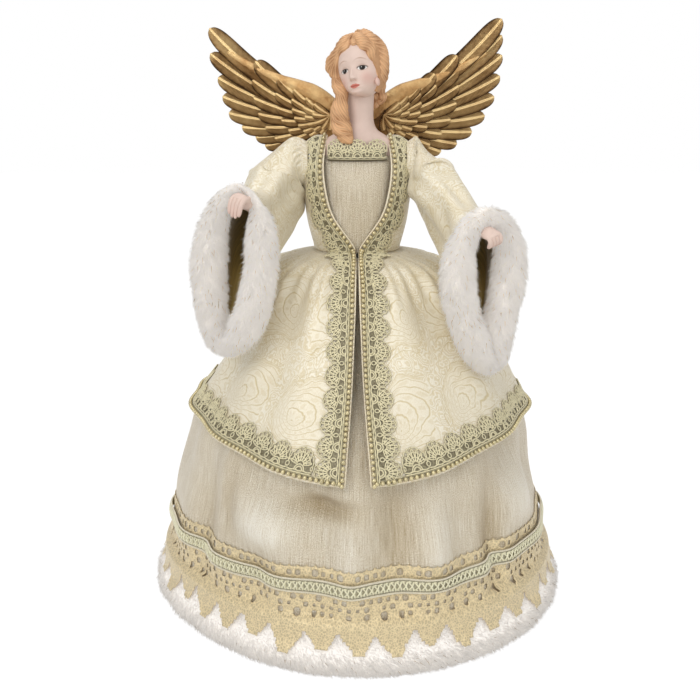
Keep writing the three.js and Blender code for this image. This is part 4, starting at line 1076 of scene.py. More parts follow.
class ANGEL_OT_gown(bpy.types.Operator):
    """Makes the gown's skirt and bodice"""

    bl_idname = "angel.gown"
    bl_label = "Gown"

    def execute(self, context):
        looks, dress = finishes(context.scene), Dress(context.scene)
        z = np.linspace(0.05, 0.99, 90)[:, None] * dress.waist
        turn = columns_round(320)[None, :]
        # Painted light: the swellings of the big folds are painted lighter and their hollows darker.
        painted_fold_light = np.clip(dress.drape(turn, z) / 7, -1, 1)
        piece, cut = cloth_sheet("gown_skirt_lame", "figure", dress.gown(turn, z), True, looks["lame"],
                                 ["gown_skirt"], "lame", "gathered", ["stiff_underskirt_net"], value=painted_fold_light)
        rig.sheet(piece, **cut)
        z = np.linspace(dress.waist, dress.neckline - 0.4, 60)[:, None]
        points = dress.under(columns_round(160)[None, :], z)
        piece, cut = cloth_sheet("gown_bodice_lame", "figure", points, True, looks["lame"],
                                 ["gown_bodice"], "lame", "stretched", ["torso_core"])
        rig.sheet(piece, **cut)
        return {"FINISHED"}


# Hem trims


def lace_sheet(u, v, field, place, cell):
    """Lace as a sheet with holes: grid points just outside the field's edge move onto it, and quads that
    have a point outside are left out. place gives the position of u and v in millimetres."""
    step = 0.05
    value = field(u, v)
    slope_u = (field(u + step, v) - field(u - step, v)) / (2 * step)
    slope_v = (field(u, v + step) - field(u, v - step)) / (2 * step)
    steep = np.maximum(np.square(slope_u) + np.square(slope_v), 0.05)
    near = (value < 0) & (value > -0.8 * cell)
    push = np.where(near, -value / steep, 0)
    inside = value > -0.8 * cell
    keep = inside[:-1, :-1] & inside[1:, :-1] & inside[:-1, 1:] & inside[1:, 1:]
    edge = bell((value - 0.45) / 0.5)
    return place(u + push * slope_u, v + push * slope_v, edge), keep, edge


class ANGEL_OT_hem_trims(bpy.types.Operator):
    """Makes the wide lace and the braid round the gown"""

    bl_idname = "angel.hem_trims"
    bl_label = "Hem Lace and Braid"

    def execute(self, context):
        looks, dress, trims = finishes(context.scene), Dress(context.scene), context.scene.angel_trims
        self.wide_lace(looks, dress, trims)
        self.braid(looks, dress, trims)
        return {"FINISHED"}

    def wide_lace(self, looks, dress, trims):
        """A net with four rows of uneven holes and stepped points below, hung over the fur. u runs round the
        lace and v down it, both in millimetres. The field is above 0 on the net: the distance from the top
        edge, from each hole and from the sides of the points, whichever is least."""
        top = trims.skirt_lace_top / MM
        round_radius, deep, points_start, points_end, cell = 150, 57, 39.5, 54.5, 1.15
        repeat = TURN * round_radius / trims.skirt_lace_points
        fur_top, fur_out = trims.fur_height / MM, dress.hem_radius + FUR_GAP + trims.fur_thickness / MM
        step_depths = [points_start, 43, 44, 46.5, 47.5, 50.5, 51.5, points_end]
        step_halves = [13, 11.4, 9.8, 9.2, 7.2, 6.6, 4.4, 3.2]
        hole_rows = (
            (5.3, repeat / 4, 1.8, 0), (21.5, repeat / 4, 1.6, repeat / 8), (26.5, repeat / 4, 1.4, 0),
            (31.5, repeat / 2, 1.9, repeat / 4), (31.5, repeat / 2, 1.1, 0))

        def holes(u, v, row, pitch, radius, shift):
            across = np.mod(u - shift + pitch / 2, pitch) - pitch / 2
            uneven = 0.45 * np.sin(0.61 * (u - across) + row) + 0.25 * np.sin(1.7 * (u - across) + 2 * row)
            return np.hypot(across, v - row) - radius - uneven

        def field(u, v):
            across = np.abs(np.mod(u + repeat / 2, repeat) - repeat / 2)
            loops = np.abs(np.mod(u + repeat / 8, repeat / 4) - repeat / 8)
            solid = v - 0.6 + 1.5 * bell(loops / 1.6) - 1.0
            for hole_row in hole_rows:
                solid = np.minimum(solid, holes(u, v, *hole_row))
            low = v + 2.5 * np.sin(2.4 * np.floor(u / repeat + 0.5))
            half = np.interp(low, step_depths, step_halves)
            half = np.where(low > points_end, -1.0, half)
            half = half + 0.6 * np.cos(2.4 * v + 0.03 * u) + 0.9 * np.sin(0.21 * u + 0.3 * v)
            return np.minimum(solid, np.where(v < points_start, 9.0, half - across))

        def place(u, v, edge):
            turn = u / round_radius
            z = np.maximum(top - v, 2)
            free = dress.gown(turn, z, 0.6 + 0.4 * edge)
            over = np.interp(z, [8, 12, 16, 20, fur_top - 2, fur_top + 4, fur_top + 8, fur_top + 12],
                             fur_out + np.array([2.3, 1.4, -1, -3.6, -4.8, -5.6, -10.5, -40]))
            radius = np.maximum(np.hypot(free[..., 0], free[..., 1]), over + 0.5 * edge - dress.dent(turn))
            return oval(turn, radius, radius, z)

        number = int(round(TURN * round_radius / cell))
        u = TURN * round_radius * np.arange(number + 1) / number + np.pi * round_radius
        v = np.arange(0, deep, cell)[::-1]
        u, v = np.meshgrid(u, v)
        points, keep, edge = lace_sheet(u, v, field, place, cell)
        uv = np.stack([u, v], -1)
        surface = Surface().add(points, uv, value=0.25 + 0.6 * edge, keep=keep)
        piece = surface.build(
            "skirt_lace_net", "figure", [looks["skirt_lace"]], ["skirt_lace"], "skirt_lace", wall=0.3)
        size = (TURN * round_radius * MM, (deep + 1) * MM)
        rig.sheet(piece, size, "hung", ["gown_skirt_lame"], area=min(surface.area() * 1.05, size[0] * size[1]))

    def braid(self, looks, dress, trims):
        """Two rope edges, each of two strands that wind round each other, and a chain of loops between them,
        on a thin band that is sewn to the gown."""
        middle, half = trims.braid_height / MM, trims.braid_width / MM / 2
        surface = Surface()
        base = np.linspace(-1, 1, 5)
        lift = 2.2 + 0.3 * (1 - np.square(base))[:, None]
        band = dress.gown(columns_round(420)[None, :], (middle + base * half)[:, None], lift)
        surface.add(band, wrap=True, value=0.1, slot=0)

        def cord(turn, z, out, radius, value, slot):
            path = dress.gown(turn, z, out)
            outward = oval(turn, 1.0, 1.0, 0.0)
            surface.add(tubes(path, outward, radius, 4), wrap=True, value=value, slot=slot)

        twists, steps = 300, 6
        step = np.arange(twists * steps + 1)
        turn = np.pi + TURN * step / (twists * steps)
        wind = TURN * step / steps
        for edge in (-1, 1):
            for phase in (0, np.pi):
                z = middle + edge * half + 0.4 * np.sin(wind + phase)
                cord(turn, z, 2.9 + 0.4 * np.cos(wind + phase), 0.36, 0.5, 1)
        loops = 230
        share = np.linspace(0, 1, 13)
        turn = columns_round(loops)[:, None]
        turn = turn + TURN / loops * (share * 1.5 - 0.25 + 0.35 * np.sin(TURN * share))
        for flip in (-1, 1):
            z = middle + flip * 0.62 * half * np.cos(TURN * share + 0.5)
            cord(turn, np.broadcast_to(z, turn.shape), 3.1 + 0.5 * np.sin(TURN * share), 0.55, 0.75, 0)
        surface.build(
            "skirt_braid_chain", "figure", [looks["braid"], looks["rope"]], ["skirt_braid"], "braid")


# Fur


def strands(surface, roots, directions, lengths, widths, slot, tone=1.0):
    """Three-sided tapering hairs: a small ring round each root and one point at the tip."""
    first = unit(np.cross(directions, [0.31, 0.52, 0.79]))
    second = np.cross(directions, first)
    turn = turns(3)[:, None]
    ring = np.cos(turn) * first[:, None, :] + np.sin(turn) * second[:, None, :]
    base = roots[:, None, :] + widths[:, None, None] * ring
    tips = roots + directions * lengths[:, None]
    tips[:, 2] = np.maximum(tips[:, 2], 0.2)
    points = np.concatenate([base, tips[:, None, :]], 1).reshape(-1, 3)
    corner = np.array([[0, 1, 3], [1, 2, 3], [2, 0, 3]])
    faces = (surface.size + 4 * np.arange(len(roots))[:, None, None] + corner).reshape(-1, 3)
    # The root ring gets far less value than the tip: painted shade deep in the pile. tone scales each hair, and
    # patches vary it at random.
    patches = np.sin(roots @ np.array([2.1, 1.7, 0.6])) * np.sin(roots @ np.array([-1.3, 2.2, 0.9]) + 1)
    bright = tone * (0.75 + 0.25 * patches)
    surface.extend(points, faces, value=(bright[:, None] * [0.15, 0.15, 0.15, 1.0]).ravel(), slot=slot)


def furred(surface, place, number, pile, comb, seed, cut, tone=1.0, flecks=0.014):
    """Scatters hairs on a surface place(u, v), with u and v from 0 to 1. They lean along comb(points), in
    tufts, and cut(points) gives their share of the full length. A share of them are gold flecks."""
    rng = np.random.default_rng(seed)
    u, v = rng.random(number), rng.random(number)
    step = 1e-3
    roots = place(u, v)
    normal = unit(np.cross(place(u + step, v) - place(u - step, v), place(u, v + step) - place(u, v - step)))
    lean = comb(roots)
    lean = unit(lean - normal * np.sum(lean * normal, -1, keepdims=True))
    side = np.cross(normal, lean)
    tuft = np.sin(roots @ np.array([0.7, 0.5, 0.9])) + np.sin(roots @ np.array([-0.6, 0.8, 0.45]) + 1.7)
    sway = 0.3 * tuft + rng.normal(0, 0.55, number)
    flat = 1.5 + 0.3 * np.cos(2 * tuft) + rng.normal(0, 0.3, number)
    directions = unit(normal + lean * flat[:, None] + side * sway[:, None])
    lengths = pile * rng.uniform(0.55, 1.15, number) * cut(roots)
    gold = rng.random(number) < flecks
    white = ~gold
    widths = rng.uniform(0.24, 0.4, white.sum())
    strands(surface, roots[white], directions[white], lengths[white], widths, 1, tone)
    widths = np.full(gold.sum(), 0.16)
    strands(surface, roots[gold] + normal[gold] * 1.6, directions[gold], lengths[gold] * 0.75, widths, 2)


class ANGEL_OT_fur_hem(bpy.types.Operator):
    """Makes the fur band round the hem"""

    bl_idname = "angel.fur_hem"
    bl_label = "Fur Hem"

    def execute(self, context):
        looks, dress, trims = finishes(context.scene), Dress(context.scene), context.scene.angel_trims
        inner = dress.hem_radius + FUR_GAP
        thick, tall, pile = trims.fur_thickness / MM, trims.fur_height / MM, trims.pile / MM
        # Section of the band, as shares of its thickness and heights for a band of the drawn height
        outline = np.array([(0.0, 0.3), (0.5, 0.4), (0.8, 2.6), (0.92, 8), (0.7, 14), (0.3, 20), (0.16, 27),
                            (0.08, 33), (-0.05, 13), (0.0, 0.3)])
        drawn_height = 29
        outline[:, 1] *= tall / drawn_height
        profile = smooth_rows(outline, 46)
        shares = np.linspace(0, 1, 46)

        def place(turn, share):
            radius = inner + thick * np.interp(share, shares, profile[:, 0])
            radius = radius + 0.5 * np.sin(23 * turn) * np.sin(np.pi * share) - dress.dent(turn)
            z = np.interp(share, shares, profile[:, 1])
            radius = radius - 3 * blend_in(14, 33, z)
            return oval(turn, radius, radius, z)

        def hairy(u, v):
            return place(TURN * u, 0.04 + 0.73 * v)

        surface = Surface()
        surface.add(place(columns_round(260)[None, :], shares[:, None]), wrap=True, value=0.4, slot=0)
        # tone 0.55 darkens the hem's hairs: painted shade, together with the shaded hem finishes.
        furred(surface, hairy, 50000, pile, self.comb, 3, self.pressed, tone=0.55)
        piece = surface.build("fur_hem_pile", "figure", [looks["hem_hide"], looks["hem_fur"], looks["fleck"]],
                              ["fur_hem"], "fur")
        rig.padded(piece, fill=0.7)
        return {"FINISHED"}

    def pressed(self, points):
        """Share of the pile's length: short where the lace lies on it and where it meets the floor."""
        z = points[..., 2]
        return mix(1.0, 0.22, blend_in(9, 16, z)) * mix(0.6, 1.0, blend_in(1, 5, z))

    def comb(self, points):
        """Sideways round the hem and down."""
        around = unit(np.stack([-points[..., 1], points[..., 0], 0 * points[..., 0]], -1))
        return around * 0.8 + np.array([0, 0, -0.8])


# Coat


class ANGEL_OT_coat(bpy.types.Operator):
    """Makes the coat's bodice and skirt with their trims"""

    bl_idname = "angel.coat"
    bl_label = "Coat"

    def execute(self, context):
        scene = context.scene
        looks, dress = finishes(scene), Dress(scene)
        trims = []
        for name, sign in SIDES:
            trims += self.front_trims(scene, looks, dress, name, sign)
            trims += self.hem_trims(scene, looks, dress, name, sign)
        self.skirt(looks, dress, trims)
        self.bodice(scene, looks, dress)
        return {"FINISHED"}

    def skirt(self, looks, dress, trims):
        """Rows from the hem up to the waist, columns from one front edge round the back to the other."""
        share = np.linspace(0, 1, 76)[:, None]
        around = np.linspace(0, 1, 360)[None, :]
        rough = TURN * around
        z = mix(dress.hem(rough), dress.waist, share ** 0.9)
        edge = dress.coat_turn(dress.opening(z), z)
        points = dress.coat_skirt(mix(edge, TURN - edge, around), z)
        piece, cut = cloth_sheet("coat_skirt_brocade", "figure", points, False, looks["brocade"],
                                 ["coat_skirt"], "brocade", "gathered", ["gown_skirt_lame"])
        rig.sheet(piece, **cut, with_pieces=trims)

    def bodice(self, scene, looks, dress):
        """Rows up from the waist to the shoulder ridge and the back neckline, open in front and at the
        armholes, where the points inside a round hole are moved out to its rim."""
        figure = scene.angel_figure
        share = np.linspace(0, 1, 76)[:, None]
        around = np.linspace(0, 1, 250)[None, :]
        rough = TURN * around
        back = bell((rough - np.pi) / 0.75)
        z = mix(dress.waist - 0.3, dress.ridge - 9 * back, share)
        half_width = dress.bodice_width((z - dress.waist) / dress.bodice_height)
        edge = np.arcsin(np.clip(dress.opening(z) / half_width, 0, 0.98))
        points = dress.bodice(mix(edge, TURN - edge, around), z)
        centre = dress.ridge - figure.pivot_drop / MM
        hole = figure.shoulder_ball / MM - 1.5
        out = np.hypot(points[..., 1], points[..., 2] - centre)
        side = np.abs(points[..., 0]) > dress.arm_clear
        inside = side & (out < hole)
        stretch = np.where(inside, hole / np.maximum(out, 1e-3), 1)
        keep = ~(inside[:-1, :-1] & inside[1:, :-1] & inside[:-1, 1:] & inside[1:, 1:])
        points[..., 1] *= stretch
        points[..., 2] = centre + (points[..., 2] - centre) * stretch
        piece, cut = cloth_sheet("coat_bodice_brocade", "figure", points, False, looks["brocade"],
                                 ["coat_bodice"], "brocade", "stretched", ["gown_bodice_lame"], keep=keep)
        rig.sheet(piece, **cut)

    def front_edge(self, dress, sign, offset):
        """The line beside one front edge, from the shoulder down to the front corner."""
        bodice_z = np.linspace(dress.ridge - 1.5, dress.waist, 120)
        skirt_z = np.linspace(dress.waist - 0.5, dress.front_hem + 0.5, 160)
        z = np.concatenate([bodice_z, skirt_z])
        x = dress.opening(z) + offset
        return dress.coat(sign * dress.coat_turn(x, z), z)

    def front_trims(self, scene, looks, dress, name, sign):
        """Piping on the fold, a string of beads on a cord, and scalloped lace beside it."""
        common = dress, scene.angel_trims, looks
        edge, beads, lace = [self.front_edge(dress, sign, offset) for offset in (0.2, 1.7, 3.4)]
        return [piping(f"front_piping_{name}", dress, looks, edge, 1.5),
                bead_string(f"front_pearls_{name}", *common, beads, sign),
                lace_band(f"front_lace_{name}", *common, lace, sign)]

    def hem_line(self, dress, sign, up, start):
        """The line above one half of the hem, from the front corner to the middle of the back."""
        low = np.array(dress.front_hem)
        corner = dress.coat_turn(np.array(dress.opening(low) + start), low)
        turn = sign * np.linspace(corner, np.pi - 0.004, 260)
        return dress.coat_skirt(turn, dress.hem(turn) + up)

    def hem_trims(self, scene, looks, dress, name, sign):
        """The same trims along one half of the hem. The lace starts beside that of the front edge."""
        common = dress, scene.angel_trims, looks
        starts = (0.3, 0.2), (1.5, 3.2), (3.0, 4.6 + scene.angel_trims.lace_width / MM)
        edge, beads, lace = [self.hem_line(dress, sign, up, start) for up, start in starts]
        return [piping(f"hem_piping_{name}", dress, looks, edge, 1.8),
                bead_string(f"hem_pearls_{name}", *common, beads, sign),
                lace_band(f"hem_lace_{name}", *common, lace, sign)]


def piping(name, dress, looks, path, step):
    """A thin folded edge along a path on the coat."""
    path = even_steps(path, step)
    spots, normals = dress.on_coat(path, np.full(len(path), 0.35))
    surface = Surface().add(tubes(spots, normals, 0.6, 6), wrap=True, value=0.6)
    return surface.build(name, "figure", [looks["piping"]], slot="brocade")


def bead_string(name, dress, trims, looks, path, side):
    """Beads a pitch apart beside a thin cord, which both follow a path on the coat."""
    radius = trims.pearl_radius / MM
    path = even_steps(path, trims.pearl_pitch / MM)
    spots, _ = dress.on_coat(path, np.full(len(path), 1.0 + 0.75 * radius))
    surface = Surface().add(rounded(spots, np.full((len(spots), 3), radius), 8, 7), wrap=True, slot=0)
    fine = even_steps(path, 1.5)
    low, low_normals = dress.on_coat(fine, np.full(len(fine), 0.75))
    along = unit(np.gradient(low, axis=0))
    across = side * np.cross(low_normals, along)
    surface.add(tubes(low + across * 1.4, low_normals, 0.6, 5), wrap=True, value=0.3, slot=1)
    return surface.build(f"{name}_beads", "figure", [looks["pearl"], looks["band"]], [name], "pearl")


def guipure_motif(repeat, width, samples=15):
    """One scallop as lines of (along, across): two foot cords, two half rings, a ring at each join, seven
    petal loops that fan out, two arcs that tie them and a row of small bumps round the edge."""
    t = np.linspace(0, 1, samples)
    middle, hub, slim = repeat / 2, width * 0.33, 0.82
    lines = [np.stack([repeat * t, 0 * t + 0.6], -1),
             np.stack([repeat * t, 1.9 + 0.25 * np.cos(3 * TURN * t)], -1)]

    def arc(radius, centre, start, end, wobble=0.0, bumps=7):
        turn = np.radians(mix(start, end, t))
        reach = radius + wobble * np.abs(np.sin(bumps * np.pi * t))
        return np.stack([centre[0] + slim * reach * np.cos(turn), centre[1] + reach * np.sin(turn)], -1)

    lines += [arc(radius, (middle, 2.0), 0, 180) for radius in (3.9, 2.5)]
    lines.append(arc(1.5, (0, 4.6), 0, 360))
    far = width - hub - 1.0
    for lean in np.linspace(14, 166, 7):
        out = np.array([slim * math.cos(math.radians(lean)), math.sin(math.radians(lean))])
        side = np.array([-out[1], out[0]])
        reach = mix(2.4, far - 0.9 * abs(lean - 90) / 76, (1 - np.cos(TURN * t)) / 2)
        sway = 0.85 * np.sin(TURN * t)
        lines.append(np.array([middle, hub]) + reach[:, None] * out + sway[:, None] * side)
    lines += [arc(far * share, (middle, hub), 10, 170) for share in (0.5, 0.78)]
    for k in range(3):
        lines.append(arc(far, (middle, hub), 4 + 57.3 * k, 4 + 57.3 * (k + 1), 1.0, 3))
    return np.stack(lines)


def lace_band(name, dress, trims, looks, edge, side):
    """Scallops carried along an edge line on the coat, over a dark ground strip that paints the shade in the
    gaps between the cords. Each motif point is moved along the edge and square to it, then set on the coat,
    and thin cords follow the lines, with painted highlight on their crowns and painted shade on their backs.
    Near the shoulder the band is narrower."""
    repeat, width = trims.lace_repeat / MM, trims.lace_width / MM
    edge = even_steps(edge, 0.8)
    distance = travelled(edge)
    scallops = max(int(round(distance[-1] / repeat)), 1)
    repeat = distance[-1] / scallops
    motif = guipure_motif(repeat, width)
    along = motif[None, ..., 0] + repeat * np.arange(scallops)[:, None, None]
    across = np.broadcast_to(motif[None, ..., 1], along.shape)
    along = np.clip(along, 0, distance[-1])
    foot = at_distances(along, distance, edge)
    normals = dress.on_coat(edge, np.zeros(len(edge)))[1]
    forward = unit(np.gradient(edge, axis=0))
    sideways = unit(np.cross(normals, forward)) * side
    blur = np.ones(15) / 15
    ready = np.pad(sideways, ((7, 7), (0, 0)), mode="edge")
    sideways = unit(np.stack([np.convolve(ready[:, k], blur, "valid") for k in range(3)], -1))
    away = at_distances(along, distance, sideways)
    low, high = dress.waist + 35, dress.waist + 58
    across = across * (1 - 0.15 * blend_in(low, high, foot[..., 2]))
    narrow = 1 - 0.3 * blend_in(low, high, edge[:, 2])
    spots, facing = dress.on_coat(foot + away * across[..., None], np.full(along.shape, 0.9))
    thread = trims.lace_thread / MM
    radii = thread * np.where(np.arange(len(motif)) < 4, 1.25, 1.0)[None, :, None]
    rings = tubes(spots, facing, radii, 4)
    surface = Surface().add(rings, wrap=True, value=CORD_LIGHT_AND_SHADE)
    reach = np.array([0, 0.3, 0.6, 0.85, 1])[:, None]
    bulge = np.sqrt(np.maximum(1 - np.square(2 * np.mod(distance / repeat, 1) - 1), 0))
    ground = edge + sideways * (reach * narrow * width * (0.3 + 0.52 * bulge))[..., None]
    ground = dress.on_coat(ground, np.full(ground.shape[:2], 0.5))[0]
    # The dark ground strip is painted shade for the gaps between the cords.
    surface.add(ground if side < 0 else ground[::-1], value=0.08)
    return surface.build(f"{name}_guipure", "figure", [looks["guipure"]], [name], "gold_lace")


class ANGEL_OT_neckline(bpy.types.Operator):
    """Makes the lace and the cord across the neckline"""

    bl_idname = "angel.neckline"
    bl_label = "Neckline"

    def execute(self, context):
        scene = context.scene
        looks, dress = finishes(scene), Dress(scene)
        low = dress.neckline - 3
        reach = float(dress.bodice_opening(0.9)) - 2.5
        width, chest_radius = 14.0, 34

        def place(x, up, out):
            half = dress.under(np.array(np.pi / 2), np.array(low))[0]
            turn = np.arcsin(np.clip(x / half, -0.98, 0.98))
            spot = dress.under(turn, np.full_like(x, low), 0.6 + out)
            return spot + np.stack([0 * up, 2 * up / width, up], -1)

        scallops = 3
        repeat = 2 * reach / scallops
        motif = guipure_motif(repeat, width)
        x = -reach + motif[None, ..., 0] + repeat * np.arange(scallops)[:, None, None]
        up = np.broadcast_to(motif[None, ..., 1], x.shape)
        spots = place(np.clip(x, -reach, reach), up, 0.5)
        facing = oval(x / chest_radius, 1.0, 1.0, 0 * x)
        surface = Surface().add(tubes(spots, facing, 0.55, 4), wrap=True, value=CORD_LIGHT_AND_SHADE)
        back_x, back_up = np.meshgrid(np.linspace(-reach, reach, 60), np.linspace(0, width * 0.62, 12))
        # A dark backing behind the neckline lace: painted shade for the gaps between its cords.
        surface.add(place(back_x, back_up, 0.1), value=0.1)
        surface.build("neckline_lace_guipure", "figure", [looks["guipure"]], ["neckline_lace"], "gold_lace")
        x = np.linspace(-reach, reach, 60)
        path = place(x, np.full_like(x, 0.2), 0.7)
        facing = oval(x / chest_radius, 1.0, 1.0, 0 * x)
        surface = Surface().add(tubes(path, facing, 0.6, 6), wrap=True, value=0.5)
        surface.build("neckline_cord_twist", "figure", [looks["cord"]], ["neckline_cord"], "gold_lace")
        return {"FINISHED"}


# Arms


class Arm:
    """One arm: where its shoulder, bend and cuff lie, and the directions of the cuff opening. Each side has
    its own values in millimetres: the cuff's distance out and down from the shoulder, how much wider the
    opening is above (swell, a share), narrower at its outer foot (taper, a share), and how far its foot
    leans in (skew) and its top sinks; the hand's place and the heights along its wrist; the sleeve's
    fullness above and below; and the share of the pile that is left over the hand."""

    growth = staticmethod(through((0, 0), (0.2, 0.2), (0.4, 0.37), (0.6, 0.49), (0.8, 0.62), (1, 1)))
    shapes = {
        "left": dict(out=37, drop=61, swell=0.0, taper=0.06, skew=6, sink=0, hand_rise=55, hand_ahead=4,
                     hand_aside=-10, wrist=(-20, -14, -10.5, -5), fullness=(1.0, 0.0), crest_pile=0.25),
        "right": dict(out=42, drop=71, swell=0.2, taper=0.2, skew=13, sink=7, hand_rise=38, hand_ahead=0,
                      hand_aside=-2, wrist=(-16, -8, -3, 0), fullness=(7.0, 7.0), crest_pile=1.0),
    }
    forward = 68
    lean = math.radians(14)

    def __init__(self, scene, name, sign):
        figure, trims, dress = scene.angel_figure, scene.angel_trims, Dress(scene)
        self.sign = sign
        for key, value in self.shapes[name].items():
            setattr(self, key, value)
        self.facing = unit(np.array([sign * 0.5, -0.86, -0.1]))
        self.up = spin(self.square_up(self.facing), self.facing, sign * self.lean)
        self.outward = sign * np.cross(self.up, self.facing)
        self.ball = figure.shoulder_ball / MM
        self.shoulder = np.array([sign * figure.pivot_out / MM, 0, dress.ridge - figure.pivot_drop / MM])
        reach = np.array([sign * self.out, -self.forward, -self.drop])
        self.centre = self.shoulder + reach
        self.bend = self.shoulder + reach * np.array([0.3, 0.18, 0.4])
        self.half_height = figure.cuff_half_height / MM
        self.half_width = figure.cuff_half_width / MM
        self.roll = trims.cuff_roll / MM
        self.top_roll = getattr(trims, f"{name}_top_roll") / MM
        self.foot_roll = trims.cuff_foot_roll / MM

    def square_up(self, along):
        """Nearly upward: the upright with the square of the direction's rise taken off each part."""
        upright = np.array([0, 0, 1.0])
        return unit(upright - along * upright @ along)

    def path(self, t):
        """The middle of the sleeve: a curve from the shoulder past the bend to the cuff."""
        return (1 - t) ** 2 * self.shoulder + 2 * t * (1 - t) * self.bend + t * t * self.centre

    def heading(self, t):
        """Direction of that curve."""
        return unit(2 * (1 - t) * (self.bend - self.shoulder) + 2 * t * (self.centre - self.bend))

    def spot(self, facing, up, outward):
        """A place measured from the middle of the cuff opening: ahead, up and away from the body."""
        facing, up, outward = np.broadcast_arrays(facing, up, outward)
        return (self.centre + facing[..., None] * self.facing + up[..., None] * self.up
                + outward[..., None] * self.outward)

    def oval_ring(self, turn, middle, tall, wide, up, across):
        """Points of an oval round a middle."""
        return middle + np.cos(turn)[:, None] * tall * up + np.sin(turn)[:, None] * wide * across

    def ring(self, t, turn, inset):
        """An oval ring of the sleeve, square to its run."""
        along = unit(mix(self.heading(t), self.facing, blend_in(0.1, 1, t)))
        up = spin(self.square_up(along), along, self.sign * self.lean * t)
        tall = mix(self.ball - 0.5, self.half_height, self.growth(t)) - inset
        wide = mix(self.ball - 0.5, self.half_width, t) - inset
        return self.oval_ring(turn, self.path(t), tall, wide, up, np.cross(along, up))

    def cuff(self, turn):
        """One place round the cuff, from the top toward the outer side: the roll's radius, its middle (up,
        across) and the way out of the opening."""
        top = bell(signed(turn) / math.radians(55))
        foot = bell(signed(turn + np.pi) / math.radians(45))
        radius = self.roll - top * (self.roll - self.top_roll) - foot * (self.roll - self.foot_roll)
        tall = self.half_height + self.roll
        wide = (self.half_width + self.roll) * (1 + self.swell * np.cos(turn))
        wide = wide * (1 - self.taper * bell((signed(turn) - 2.2) / 0.65))
        outward = unit(np.stack([wide * np.cos(turn), tall * np.sin(turn)], -1))
        tip = 0.5 - 0.5 * np.cos(turn)
        rise, aside = tall * np.cos(turn) - self.sink * (1 - tip), wide * np.sin(turn) - self.skew * tip
        return radius, np.stack([rise, aside], -1) - outward * radius[..., None], outward

    def mouth(self, turn, inset):
        """The last ring, just behind the middle of the fur."""
        radius, middle, outward = self.cuff(-self.sign * turn)
        edge = middle - outward * inset
        return self.spot(-radius - 0.4, edge[:, 0], edge[:, 1])

    def cap_ring(self, turn, out, forward, height, along, tall, wide):
        """A ring of the sleeve's cap, set by its middle and the way it faces."""
        along = unit(np.array([self.sign * along[0], along[1], along[2]], float))
        up = self.square_up(along)
        middle = np.array([self.sign * out, -forward, self.shoulder[2] + height])
        return self.oval_ring(turn, middle, tall, wide, up, np.cross(along, up))

    def sleeve(self, rows, columns, inset=0.0, cap=True):
        """Smooth rows through the sleeve's rings, from the puffed cap at the armhole to the cuff."""
        turn = turns(columns)
        stations = [self.ring(t, turn, inset) for t in (0.25, 0.4, 0.6, 0.76)]
        if cap:
            caps = [self.cap_ring(turn, 34, 0, 0, (1, 0, 0), 14.6, 14.6),
                    self.cap_ring(turn, 38.5, 0, 0.5, (1, 0, -0.15), 16.6, 16),
                    self.cap_ring(turn, 44, 1.5, -0.5, (0.92, -0.1, -0.4), 17.6, 17.6)]
            stations = caps + stations
        stations.append(self.mouth(turn, inset))
        return smooth_rows(stations, rows)


class ANGEL_OT_sleeves(bpy.types.Operator):
    """Makes the wide sleeves and their linings"""

    bl_idname = "angel.sleeves"
    bl_label = "Sleeves"

    def execute(self, context):
        looks = finishes(context.scene)
        for name, sign in SIDES:
            arm = Arm(context.scene, name, sign)
            points = self.puffed(arm, 120, 160)
            bends = [arm.shoulder + np.array(offset) for offset in ([-sign * 6, 0, 7], [sign * 10, -8, -11])]
            piece, cut = cloth_sheet(
                f"sleeve_{name}_brocade", f"{name}_arm", points, True, looks["brocade"],
                [f"sleeve_{name}"], "brocade", "hung", ["coat_bodice_brocade"], 0.8, bends=bends)
            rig.sheet(piece, **cut)
            points = arm.sleeve(60, 110, 4.2, False)
            piece, cut = cloth_sheet(
                f"sleeve_lining_{name}_satin", f"{name}_arm", points, True, looks["satin"],
                [f"sleeve_lining_{name}"], "satin", "hung", [f"sleeve_{name}_brocade"], 0.5)
            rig.sheet(piece, **cut)
        return {"FINISHED"}

    def puffed(self, arm, rows, columns):
        """The sleeve moved along its normals: two waves of hanging folds, fine creases at the elbow, gathers
        below the cap, and a fullness above and below the elbow."""
        points = arm.sleeve(rows, columns)
        run, turn = np.linspace(0, 1, rows)[:, None], turns(columns)[None, :]
        hang = blend_in(0.25, 0.5, run) * (1 - blend_in(0.88, 1.0, run))
        fold = 1.6 * np.cos(4 * turn + 5 * run * arm.sign) + 1.0 * np.sin(7 * turn - 9 * run)
        crease = np.sin(52 * run + 2 * np.sin(turn + arm.sign)) * np.sin(turn / 2)
        crease = 0.8 * crease * bell((run - 0.45) / 0.13)
        gathers = 0.7 * np.cos(24 * turn) * bell((run - 0.2) / 0.09) * blend_in(-0.2, 0.6, np.cos(turn))
        above, below = arm.fullness
        way = arm.sign * signed(turn)
        full = above * bell((way + 0.7) / 0.8) * bell((run - 0.5) / 0.14)
        full = full + below * bell((way - 2.4) / 0.8) * bell((run - 0.52) / 0.13)
        puff = fold * hang + crease + gathers + full - 0.6 * hang
        return points + grid_normals(points, True) * puff[..., None]


